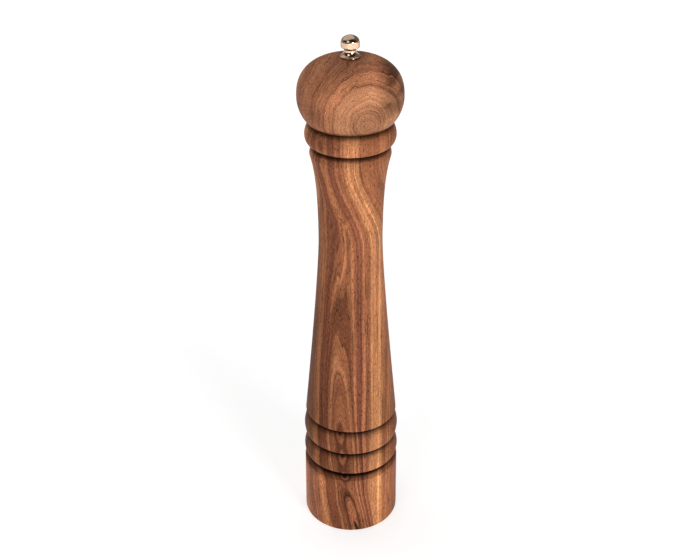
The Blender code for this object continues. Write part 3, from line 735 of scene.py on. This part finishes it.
def band_ramp(graph, ring, bands):
    position = graph.math("DIVIDE", ring, BAND_SPAN)
    return graph.ramp(position, [(at / BAND_SPAN, oiled(colour)) for at, colour in bands])


def body_rings(graph, x, y, z):
    """The growth coordinate of the body, and how far a place lies to the right of the heart line."""
    # the grain leans over towards the upper left in the top of the neck
    lean = graph.spread(z, 222.0, 283.0, 0.0, 17.5, smooth=True)
    heart_x = graph.curve(z, HEART_X)
    heart_out = graph.total(
        graph.curve(z, HEART_OUT),
        graph.spread(z, 86.8, 87.7, 0.0, NECK_HEART_STEP),
        graph.spread(z, 45.7, 47.5, BASE_HEART_STEP, 0.0),
    )
    shifted = graph.total(x, lean)
    right = graph.minus(shifted, heart_x)

    # away from the heart on the right the rings flatten into upright layers
    flat = graph.spread(right, 5.0, 17.0, smooth=True)
    straight = graph.total(shifted, 10.5)
    u = graph.total(
        graph.times(right, graph.minus(1.0, flat)),
        graph.times(straight, flat),
    )
    depth = graph.total(y, heart_out)
    v = graph.times(depth, graph.spread(flat, 0.0, 1.0, 1.0, 0.35))
    ring = noisy_ring(graph, graph.length(u, v), (1.6, 1.0, 0.45), 0.16, 2)
    return ring, right


def burnt_and_shaded_grooves(graph, z, radius):
    """The turner's burn lines with painted shade: a factor that darkens wood deep in the grooves.

    Heights and radii are in millimetres, as in every wood function.
    """
    # burn lines and painted shade deep in the grooves of the base, but none above the neck's foot
    low_groove_burn_and_shade = graph.spread(radius, 29.5, 31.6, 0.06, 1.0)
    in_neck = graph.times(graph.spread(z, 87.0, 87.6), graph.minus(1.0, low_groove_burn_and_shade))
    burn_and_shade = graph.total(low_groove_burn_and_shade, in_neck)
    # painted shade in the groove under the collar
    shade_under_collar = graph.minus(1.0, graph.spread(radius, 23.9, 25.6, 0.20, 1.0))
    near_collar = graph.times(graph.spread(z, 284.5, 285.5), graph.spread(z, 292.0, 291.0))
    burn_and_shade = graph.minus(burn_and_shade, graph.times(near_collar, shade_under_collar))

    # painted shade on the top of the collar, outside the head's spigot, where the head overhangs it
    rim_shade_height = graph.spread(z, 299.6, 301.6, 0.0, 0.62)
    rim = graph.times(rim_shade_height, graph.spread(radius, 18.0, 22.0))
    return graph.times(burn_and_shade, graph.minus(1.0, rim))


def foot_crack(graph, x, y, z):
    """Mask of a short black crack that starts at the foot, a little right of the middle."""
    along = graph.math("DIVIDE", graph.minus(z, 3.2), 6.0)
    bend = graph.noise(graph.stretched(graph.object_mm(), (0.0, 0.0, 0.5)), detail=2.0)
    across = graph.total(x, graph.spread(bend, 0.0, 1.0, -5.2, -4.0), graph.times(z, 0.25))
    across = graph.math("DIVIDE", across, 1.1)
    off_crack = graph.squares(along, across)
    at_front = graph.spread(y, -20.0, -21.0)
    return graph.times(graph.spread(off_crack, 0.5, 1.3, 0.92, 0.0), at_front)


def body_wood():
    graph = Graph("body_wood")
    x, y, z = graph.axes()
    ring, right_of_heart = body_rings(graph, x, y, z)
    centre = band_ramp(graph, ring, CENTRE_BANDS)
    left = band_ramp(graph, ring, LEFT_BANDS)
    right = band_ramp(graph, ring, RIGHT_BANDS)
    sides = graph.mix(graph.spread(right_of_heart, -3.0, 3.0, smooth=True), left, right)
    base = graph.mix(graph.spread(ring, 12.2, 13.0), centre, sides)
    base = graph.mix(graph.spread(z, 110.0, 210.0, 0.0, 0.28), base, oiled(PLAIN_WOOD))
    at_foot = graph.spread(z, 40.0, 46.0, 1.0, 0.0)
    paler = graph.times(graph.spread(x, -24.0, -8.0, 1.30, 0.22), at_foot)
    base = graph.shaded(base, graph.total(1.0, paler))
    # burn lines, and painted shade in the grooves and on the collar's top
    base = graph.shaded(base, burnt_and_shaded_grooves(graph, z, graph.length(x, y)))
    base = graph.mix(foot_crack(graph, x, y, z), base, (0.012, 0.008, 0.006))
    colour, roughness, normal = wood_surface(graph, ring, base, z, 2)
    return graph.finish(colour, roughness, normal, Specular_IOR_Level=WOOD_GLOSS)


HEAD_HEART = (10.0, 310.0)  # x and z of the line that the head's rings run round, along Y
HEAD_BANDS = (
    (0.0, (0.285, 0.137, 0.077)),
    (7.0, (0.265, 0.124, 0.069)),
    (9.0, (0.31, 0.149, 0.083)),
    (16.0, (0.34, 0.163, 0.090)),
    (18.0, (0.26, 0.110, 0.062)),
    (20.5, (0.36, 0.160, 0.085)),
    (23.0, (0.24, 0.100, 0.058)),
    (27.0, (0.32, 0.140, 0.076)),
    (31.0, (0.25, 0.105, 0.060)),
    (35.0, (0.33, 0.145, 0.080)),
    (40.0, (0.27, 0.115, 0.064)),
    (46.0, (0.35, 0.155, 0.085)),
    (55.0, (0.26, 0.110, 0.060)),
)


def head_wood():
    graph = Graph("head_wood")
    x, y, z = graph.axes()
    across = graph.minus(x, HEAD_HEART[0])
    upward = graph.times(graph.minus(z, HEAD_HEART[1]), 0.8)
    distance = graph.total(graph.length(across, upward), graph.times(y, 0.10))
    ring = noisy_ring(graph, distance, (3.0, 1.6, 0.5), 0.5, 1)
    base = band_ramp(graph, ring, HEAD_BANDS)

    # painted shade underneath, by the joint with the body, and painted light and sheen towards the crown
    outside_spigot = graph.spread(graph.length(x, y), 18.0, 22.0)
    under = graph.times(outside_spigot, graph.spread(z, 303.0, 305.2, 0.88, 0.0))
    base = graph.shaded(base, graph.minus(1.0, under))
    base = graph.shaded(base, graph.spread(z, 316.0, 334.0, 1.0, 1.85))

    # a dark swirl high on the right
    swirl = graph.noise(graph.stretched(graph.object_mm(), (0.10, 0.05, 0.22)), detail=2.0)
    on_right = graph.spread(x, 13.0, 24.0, smooth=True)
    reach = graph.times(on_right, graph.spread(z, 311.5, 318.5))
    swirl = graph.times(reach, graph.spread(swirl, 0.35, 0.55, 0.74, 0.44))
    base = graph.shaded(base, graph.minus(1.0, swirl))
    colour, roughness, normal = wood_surface(graph, ring, base, y, 1, lines=0.85)
    return graph.finish(colour, roughness, normal, Specular_IOR_Level=WOOD_GLOSS)


def metal(name, colour, roughness, streak, bump):
    graph = Graph(name)
    place = graph.object_mm()
    marks = graph.noise(graph.stretched(place, streak), detail=4.0, roughness=0.6)
    dark = tuple(0.82 * c for c in colour)
    tint = graph.mix(graph.spread(marks, 0.3, 0.7), dark, colour)
    rough = graph.spread(marks, 0.3, 0.7, 0.8 * roughness, 1.25 * roughness)
    normal = graph.bump(marks, bump, 0.4)
    return graph.finish(tint, rough, normal, Metallic=1.0)


def make_materials():
    MATERIALS["body_wood"] = body_wood()
    MATERIALS["head_wood"] = head_wood()
    for name, *settings in (
        ("knob_metal", (0.52, 0.36, 0.25), 0.12, (0.6, 0.6, 0.6), 0.01 * MM),
        ("bright_steel", (0.62, 0.61, 0.59), 0.26, (2.0, 2.0, 0.3), 0.02 * MM),
        ("burr_steel", (0.34, 0.33, 0.32), 0.4, (1.5, 1.5, 1.5), 0.04 * MM),
        ("spring_steel", (0.50, 0.49, 0.47), 0.3, (3.0, 3.0, 3.0), 0.01 * MM),
    ):
        MATERIALS[name] = metal(name, *settings)


# ======== pieces
def make_wood():
    body = turned_mesh("body_turned", body_outline(), WOOD_STEPS)
    new_piece("body_turned", body, "mill_body", "body_wood", "body")
    head = turned_mesh("head_turned", head_outline(), WOOD_STEPS)
    new_piece("head_turned", head, "turning_head", "head_wood", "head")


def knob_outline():
    band_low, band_high = KNOB_BAND
    band, neck = KNOB_BAND_RADIUS, KNOB_NECK_RADIUS
    foot_top = KNOB_FOOT + KNOB_FOOT_THICKNESS
    dome = band - KNOB_DOME_STEP
    share = 2 / KNOB_DOME_POWER
    outline = [(0.0, KNOB_TOP)]
    for angle in np.radians(np.linspace(90, 0, 31)[1:-1]):
        height = band_high + (KNOB_TOP - band_high) * sin(angle) ** share
        outline.append((dome * cos(angle) ** share, height))
    outline += [(dome, band_high), (band, band_high - 0.3 * MM)]
    # the band's points stand close together, because the knurling is cut between them
    outline += [(band, band_high - 0.45 * MM - k * 0.2 * MM) for k in range(16)]
    outline += [
        (band, band_low + 0.2 * MM),
        (band - 0.2 * MM, band_low),
        (neck + 0.9 * MM, band_low - 0.3 * MM),
    ]
    outline += bezier(
        (neck + 0.25 * MM, band_low - 0.5 * MM),
        (neck, band_low - 0.8 * MM),
        (neck, KNOB_FOOT + 4.6 * MM),
        (neck, KNOB_FOOT + 4.2 * MM),
        6,
    )
    outline += bezier(
        (neck, KNOB_FOOT + 4.1 * MM),
        (neck, KNOB_FOOT + 2.5 * MM),
        (KNOB_FOOT_RADIUS - 1.2 * MM, foot_top + 0.2 * MM),
        (KNOB_FOOT_RADIUS - 0.2 * MM, foot_top),
        20,
    )
    upper, lower = 0.25 * MM, 0.2 * MM  # roundings of the foot's rim
    outline += ellipse_arc((KNOB_FOOT_RADIUS - upper, foot_top - upper), upper, upper, 60, 0, 4)
    outline += ellipse_arc((KNOB_FOOT_RADIUS - lower, KNOB_FOOT + lower), lower, lower, 0, -90, 4)
    bore = KNOB_BORE_RADIUS
    outline += [(bore + 0.4 * MM, KNOB_FOOT), (bore, KNOB_FOOT + 0.4 * MM)]
    outline += [(bore, KNOB_FOOT + 9.2 * MM), (0.0, KNOB_FOOT + 10.0 * MM)]
    return outline


def make_knob():
    low, high = KNOB_BAND[0] + KNURL_MARGIN, KNOB_BAND[1] - KNURL_MARGIN

    def knurl(radius, angle, height):
        if radius < KNOB_BAND_RADIUS - KNURL_DEPTH or not low < height < high:
            return radius
        return radius - KNURL_DEPTH * (0.5 + 0.5 * cos(KNURL_TEETH * angle))

    mesh = turned_mesh("knob_turned", knob_outline(), KNURL_TEETH * 8, closed=False, shape=knurl)
    new_piece("knob_turned", mesh, "adjusting_knob", "knob_metal", "knob")


# ======== mechanism
def make_shaft():
    low, high = levels(SHAFT_BOX)
    side = 2 * SHAFT_BOX[1].x
    middle = (0.0, 0.0, (THREAD_LOW + JOURNAL_TOP) / 2)
    square = block("shaft_square", (side, side, THREAD_LOW - JOURNAL_TOP), middle)
    square = eased(square, 0.35 * MM)
    overlap = 1.5 * MM  # of the round ends with the square
    chamfer = 0.4 * MM
    outline = [
        (0.0, JOURNAL_TOP + overlap),
        (JOURNAL_RADIUS, JOURNAL_TOP + overlap),
        (JOURNAL_RADIUS, CLIP_GROOVE[1]),
        (CLIP_GROOVE_RADIUS, CLIP_GROOVE[1]),
        (CLIP_GROOVE_RADIUS, CLIP_GROOVE[0]),
        (JOURNAL_RADIUS, CLIP_GROOVE[0]),
        (JOURNAL_RADIUS, low + chamfer),
        (JOURNAL_RADIUS - chamfer, low),
        (0.0, low),
    ]
    journal = turned_mesh("shaft_journal", outline, 64, closed=False)
    thread_top = high - 0.6 * MM
    outline = [(0.0, high), (THREAD_RADIUS - 0.6 * MM, high)]
    outline += uprights(THREAD_RADIUS, THREAD_LOW - overlap, thread_top, 0.1 * MM)
    outline.append((0.0, THREAD_LOW - overlap))
    shape = thread(THREAD_PITCH, THREAD_DEPTH, THREAD_LOW + 0.4 * MM, thread_top)
    end = turned_mesh("shaft_thread", outline, 64, closed=False, shape=shape)
    mesh = joined("shaft_turned", [square, journal, end])
    new_piece("shaft_turned", mesh, "burr_shaft", "bright_steel", "shaft")


def make_drive_plate():
    low, high = levels(PLATE_BOX)
    radius = PLATE_BOX[1].x
    corner = 0.25 * MM
    outline = [
        (0.0, high),
        (radius - corner, high),
        (radius, high - corner),
        (radius, low + corner),
        (radius - corner, low),
        (0.0, low),
    ]
    plate = turned_mesh("drive_plate_cut", outline, METAL_STEPS, closed=False)
    above, below = COUNTERSINK
    sink = [
        (0.0, high + MM),
        (above, high + MM),
        (above, high - 0.1 * MM),
        (below, low - 0.05 * MM),
        (below, low - MM),
        (0.0, low - MM),
    ]
    cuts = [block("square_hole", (SQUARE_HOLE, SQUARE_HOLE, 8 * MM), (0.0, 0.0, low))]
    for side in (1, -1):
        cuts.append(placed(turned_mesh("countersink", sink, 64, closed=False), side * PLATE_SCREW_OFFSET))
    mesh = eased(combined(plate, cuts), 0.08 * MM, segments=2)
    new_piece("drive_plate_cut", mesh, "turning_head", "bright_steel", "drive_plate")


def wood_screws(family, body, outline, threaded, pitch, depth, slot_size, slot_turns):
    """Screws with their heads down: an outline from tip to head, a thread between two heights, a slot."""
    points = []
    for start, end in zip(outline, outline[1:]):
        in_thread = threaded[0] <= end[1] and start[1] <= threaded[1] + MM
        count = max(1, round((start[1] - end[1]) / (0.12 * MM))) if in_thread else 1
        points += divided(start, end, count)
    points.append(outline[-1])
    shape = thread(pitch, depth, *threaded)
    for number, slot_turn in enumerate(slot_turns, 1):
        node = f"{family}_{number}"
        low_corner, high_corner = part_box(node)
        middle = (low_corner + high_corner) / 2
        screw = turned_mesh(node + "_cut", points, 48, closed=False, shape=shape)
        slot = block("slot", slot_size, (0.0, 0.0, low_corner.z), slot_turn)
        mesh = combined(screw, [slot])
        shade(mesh)
        placed(mesh, middle.x, middle.y)
        new_piece(node + "_cut", mesh, body, "bright_steel", node)


def make_plate_screws():
    low, high = levels(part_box("drive_plate_screw_1"))
    shank, head = 0.85 * MM, 2.3 * MM
    outline = [
        (0.0, high),
        (SCREW_TIP_RADIUS, high),
        (shank, high - 2.4 * MM),
        (shank, low + 1.55 * MM),
        (head, low + 0.12 * MM),
        (head, low),
        (0.0, low),
    ]
    threaded = (low + 2.2 * MM, high - 0.2 * MM)
    slot_size = (6 * MM, 0.6 * MM, 1.2 * MM)
    wood_screws("drive_plate_screw", "turning_head", outline, threaded, 0.9 * MM, 0.28 * MM,
                slot_size, (0.6, 0.6))


def make_crossbar_screws():
    low, high = levels(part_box("crossbar_screw_1"))
    shank, head, head_top = 1.1 * MM, 2.6 * MM, low + 1.7 * MM
    across, up = PAN_ROUNDING
    outline = [
        (0.0, high),
        (SCREW_TIP_RADIUS, high),
        (shank, high - 3.0 * MM),
        (shank, head_top),
        (head, head_top),
    ]
    outline += ellipse_arc((head - across, low + up), across, up, 0, -90, 10)
    outline.append((0.0, low))
    threaded = (head_top + 2.6 * MM, high - 0.3 * MM)
    slot_size = (6 * MM, 0.7 * MM, 1.8 * MM)
    wood_screws("crossbar_screw", "mill_body", outline, threaded, 1.1 * MM, 0.34 * MM,
                slot_size, (0.4, 0.8))


def ring_bore(height):
    """Radius of the burr ring's conical bore at a height."""
    low, high = levels(RING_BOX)
    share = (height - low) / (high - low)
    return BURR_BORE[0] + share * (BURR_BORE[1] - BURR_BORE[0])


def ear_pieces(radius, reach, low, high, inner_end):
    """Flat ears with round ends on both sides, to join to a ring."""
    straight = reach - radius - inner_end
    pieces = []
    for side in (1, -1):
        centre = (side * (inner_end + straight / 2), 0.0, (low + high) / 2)
        pieces.append(block("ear", (straight, 2 * radius, high - low), centre))
        pieces.append(placed(disc("ear_end", radius - UNION_STEP, low, high), side * (reach - radius)))
    return pieces


def screw_hole_cuts(low, high):
    cuts = []
    for side in (1, -1):
        hole = disc("screw_hole", SCREW_HOLE_RADIUS, low - MM, high + MM, 48)
        cuts.append(placed(hole, side * SCREW_OFFSET))
    return cuts


def make_burr_ring():
    low, high = levels(RING_BOX)
    edge = 0.4 * MM
    outline = [
        (BURR_BORE[1] + BURR_RIM_CHAMFER, high),
        (BURR_RING_RADIUS - edge, high),
        (BURR_RING_RADIUS, high - edge),
        (BURR_RING_RADIUS, low + edge),
        (BURR_RING_RADIUS - edge, low),
    ]
    bore = np.linspace(low, high - BURR_RIM_CHAMFER, 40)
    outline += [(ring_bore(height), height) for height in bore]

    def tooth(radius, angle, height):
        if radius > BURR_BORE[0] + 0.5 * MM or height > high - 0.4 * MM:
            return radius
        phase = BURR_TEETH * angle / tau + 0.05 * (height - low) / MM
        return radius + BURR_TOOTH_DEPTH * saw(phase)

    ring = turned_mesh("burr_ring_cut", outline, 12 * BURR_TEETH, shape=tooth)
    ears = ear_pieces(EAR_WIDTH / 2, RING_BOX[1].x, low, low + EAR_THICKNESS, EAR_INNER_END)
    ring = combined(combined(ring, ears, "UNION"), screw_hole_cuts(low, low + EAR_THICKNESS))
    shade(ring)
    new_piece("burr_ring_cut", ring, "mill_body", "burr_steel", "burr_ring")


def make_burr_cone():
    low, high = levels(CONE_BOX)
    hollow = BURR_HOLLOW_RADIUS
    corners = [
        (CONE_TOP_RADIUS, high),
        (CONE_NOSE[0], high - CONE_NOSE[1]),
        CONE_SHOULDER,
        (ring_bore(GRINDING_TOP) - 1.5 * GRINDING_GAP, GRINDING_TOP),
        (ring_bore(low) - GRINDING_GAP, low),
    ]
    outline = [(0.0, high)]
    for start, end in zip(corners, corners[1:]):
        outline += divided(start, end, max(2, round((start[1] - end[1]) / (0.35 * MM))))
    outline += [
        corners[-1],
        (hollow + 0.3 * MM, low),
        (hollow, low + 0.3 * MM),
        (hollow, BURR_WEB_BOTTOM),
        (0.0, BURR_WEB_BOTTOM),
    ]
    top_depth, bottom_depth = CONE_TOOTH_DEPTH

    def tooth(radius, angle, height):
        if radius < hollow + 0.5 * MM:
            return radius
        share = (high - height) / (high - low)
        teeth = BURR_TEETH if height < GRINDING_TOP else BURR_TEETH / 2
        phase = teeth * angle / tau - 0.06 * (height - low) / MM
        return radius - (top_depth + (bottom_depth - top_depth) * share) * saw(phase)

    cone = turned_mesh("burr_cone_cut", outline, 14 * BURR_TEETH, closed=False, shape=tooth)
    hole = block("square_hole", (SQUARE_HOLE, SQUARE_HOLE, 16 * MM), (0.0, 0.0, high))
    cone = combined(cone, [hole])
    shade(cone, 30)
    new_piece("burr_cone_cut", cone, "burr_shaft", "burr_steel", "burr_cone")


def washer_mesh(name, node, inner):
    low, high = levels(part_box(node))
    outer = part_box(node)[1].x
    corners = [(inner, high), (outer, high), (outer, low), (inner, low)]
    outline = rounded(corners, {i: WASHER_EDGE for i in range(4)}, count=4)
    return turned_mesh(name, outline, 96)


def make_washers():
    seat = washer_mesh("spring_seat_ring", "spring_seat", SEAT_HOLE_RADIUS)
    new_piece("spring_seat_ring", seat, "turning_seat", "bright_steel", "spring_seat")
    cap = washer_mesh("spring_cap_ring", "spring_cap", CAP_HOLE_RADIUS)
    new_piece("spring_cap_ring", cap, "burr_shaft", "bright_steel", "spring_cap")


def make_clip():
    low, high = levels(CLIP_BOX)
    clip = washer_mesh("burr_clip_bent", "burr_clip", CLIP_HOLE_RADIUS)
    mouth = block("clip_mouth", (CLIP_MOUTH, 6.0 * MM, 4.0 * MM), (0.0, -4.0 * MM, (low + high) / 2))
    clip = eased(combined(clip, [mouth]), 0.08 * MM, segments=2)
    new_piece("burr_clip_bent", clip, "burr_shaft", "spring_steel", "burr_clip")


def spring_height(share, low, high):
    """Height of the wire at a share of its length: the end turns lie closed against each other."""
    end_share = SPRING_CLOSED_TURNS / SPRING_TURNS
    end_rise = 2.1 * SPRING_WIRE_RADIUS * SPRING_CLOSED_TURNS
    if share < end_share:
        return low + end_rise * share / end_share
    if share > 1 - end_share:
        return high - end_rise * (1 - share) / end_share
    middle = (share - end_share) / (1 - 2 * end_share)
    return low + end_rise + middle * (high - low - 2 * end_rise)


def make_spring():
    wire, per_turn, sides = SPRING_WIRE_RADIUS, 48, 14
    mean = SPRING_BOX[1].x - wire
    low, high = SPRING_BOX[0].z + wire, SPRING_BOX[1].z - wire
    upward = Vector((0.0, 0.0, 1.0))
    bm = bmesh.new()
    rings = []
    for i in range(SPRING_TURNS * per_turn + 1):
        share = i / (SPRING_TURNS * per_turn)
        angle = tau * SPRING_TURNS * share
        outward = Vector((cos(angle), sin(angle), 0.0))
        centre = outward * mean + Vector((0.0, 0.0, spring_height(share, low, high)))
        turns = [tau * k / sides for k in range(sides)]
        rings.append([bm.verts.new(centre + wire * (cos(t) * outward + sin(t) * upward)) for t in turns])
    for here, there in zip(rings, rings[1:]):
        for k in range(sides):
            m = (k + 1) % sides
            bm.faces.new((here[k], here[m], there[m], there[k]))
    bm.faces.new(rings[0])
    bm.faces.new(rings[-1][::-1])
    bmesh.ops.recalc_face_normals(bm, faces=bm.faces)
    mesh = mesh_from(bm, "spring_wound")
    shade(mesh)
    spring = new_piece("spring_wound", mesh, "turning_seat", "spring_steel", "spring")
    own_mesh(spring)


def make_crossbar():
    low, high = levels(BAR_BOX)
    half_width, reach = BAR_BOX[1].y, BAR_BOX[1].x
    end_centre = reach - half_width
    size = (2 * end_centre, 2 * half_width, high - low)
    bar = block("crossbar_cut", size, (0.0, 0.0, (low + high) / 2))
    ends = []
    for side in (1, -1):
        end = disc("bar_end", half_width - UNION_STEP, low, high, 96)
        ends.append(placed(end, side * end_centre))
    bar = combined(bar, ends, "UNION")
    journal = disc("journal_hole", JOURNAL_RADIUS + JOURNAL_CLEARANCE, low - MM, high + MM)
    bar = combined(bar, screw_hole_cuts(low, high) + [journal])
    bar = eased(bar, 0.22 * MM)
    new_piece("crossbar_cut", bar, "mill_body", "bright_steel", "crossbar")


# ======== stage, lights and camera
def make_floor():
    bm = bmesh.new()
    bmesh.ops.create_grid(bm, x_segments=8, y_segments=8, size=6.0)
    mesh = mesh_from(bm, "floor")
    floor = bpy.data.objects.new("floor", mesh)
    bpy.context.scene.collection.objects.link(floor)
    graph = Graph("floor_white")
    soft = graph.noise(graph.object_mm(), scale=0.002, detail=2.0)
    tint = graph.mix(soft, (0.61, 0.61, 0.61), (0.63, 0.63, 0.63))
    # the sweep glows more in front of the mill, which lights it from below
    x, y, _ = graph.axes()  # in millimetres
    away = graph.length(x, y)
    near = graph.spread(y, -320.0, -40.0, 1.5, 0.645, smooth=True)
    middle = graph.spread(away, 0.0, 1500.0, 0.0, 0.22)
    glow = graph.total(near, middle, graph.spread(away, 1500.0, 4000.0, 0.0, 0.18))
    graph.feed(graph.shader.inputs["Emission Strength"], glow)
    mesh.materials.append(graph.finish(tint, Roughness=0.9, Specular_IOR_Level=0.1,
                                       Emission_Color=(1.0, 1.0, 1.0, 1.0)))
    floor.location.z = -0.1 * MM


def make_area(name, place, target, size, power):
    data = bpy.data.lights.new(name, "AREA")
    data.shape = "RECTANGLE"
    data.size, data.size_y = size
    data.energy = power
    light = bpy.data.objects.new(name, data)
    bpy.context.scene.collection.objects.link(light)
    light.location = place
    light.rotation_euler = (Vector(target) - Vector(place)).to_track_quat("-Z", "Y").to_euler()


def make_lights():
    middle = (0.0, 0.0, 0.18)
    make_area("key_softbox", (0.95, -1.35, 0.42), middle, (0.6, 0.8), 21.0)
    make_area("front_fill", (-0.75, -1.30, 1.45), middle, (0.80, 0.80), 6.0)
    make_area("overhead", (-0.35, 0.60, 1.40), middle, (2.0, 2.0), 9.5)
    world = bpy.data.worlds.new("studio")
    world.use_nodes = True
    nodes, links = world.node_tree.nodes, world.node_tree.links
    background = nodes["Background"]
    background.inputs["Color"].default_value = (1.0, 1.0, 1.0, 1.0)

    # pale behind the mill, and dark behind the camera
    split = nodes.new("ShaderNodeSeparateXYZ")
    links.new(nodes.new("ShaderNodeTexCoord").outputs["Generated"], split.inputs[0])
    strength = nodes.new("ShaderNodeMapRange")
    strength.interpolation_type = "SMOOTHSTEP"
    for socket, value in (("From Min", -0.20), ("From Max", 0.30), ("To Min", 0.04), ("To Max", 0.25)):
        strength.inputs[socket].default_value = value
    links.new(split.outputs["Y"], strength.inputs["Value"])
    links.new(strength.outputs[0], background.inputs["Strength"])
    bpy.context.scene.world = world


def make_camera():
    data = bpy.data.cameras.new("camera")
    data.sensor_width = 36.0
    data.lens = CAMERA_LENS
    camera = bpy.data.objects.new("camera", data)
    bpy.context.scene.collection.objects.link(camera)
    camera.location = CAMERA_PLACE
    camera.rotation_euler = (radians(90.0 - CAMERA_DOWN), 0.0, 0.0)
    camera.rotation_euler.rotate_axis("Z", radians(CAMERA_ROLL))
    bpy.context.scene.camera = camera


def main():
    make_camera()
    make_floor()
    make_lights()
    make_materials()
    make_wood()
    make_knob()
    make_shaft()
    make_drive_plate()
    make_plate_screws()
    make_burr_ring()
    make_burr_cone()
    make_washers()
    make_clip()
    make_spring()
    make_crossbar()
    make_crossbar_screws()
    slots = {row["node"]: row["material_slot"] for row in frame["record"]["subparts"]}
    for name, node in frame["nodes"].items():
        node.data.materials.clear()
        node.data.materials.append(MATERIALS[slots[name]])
    bpy.context.scene.view_settings.view_transform = "Standard"


main()
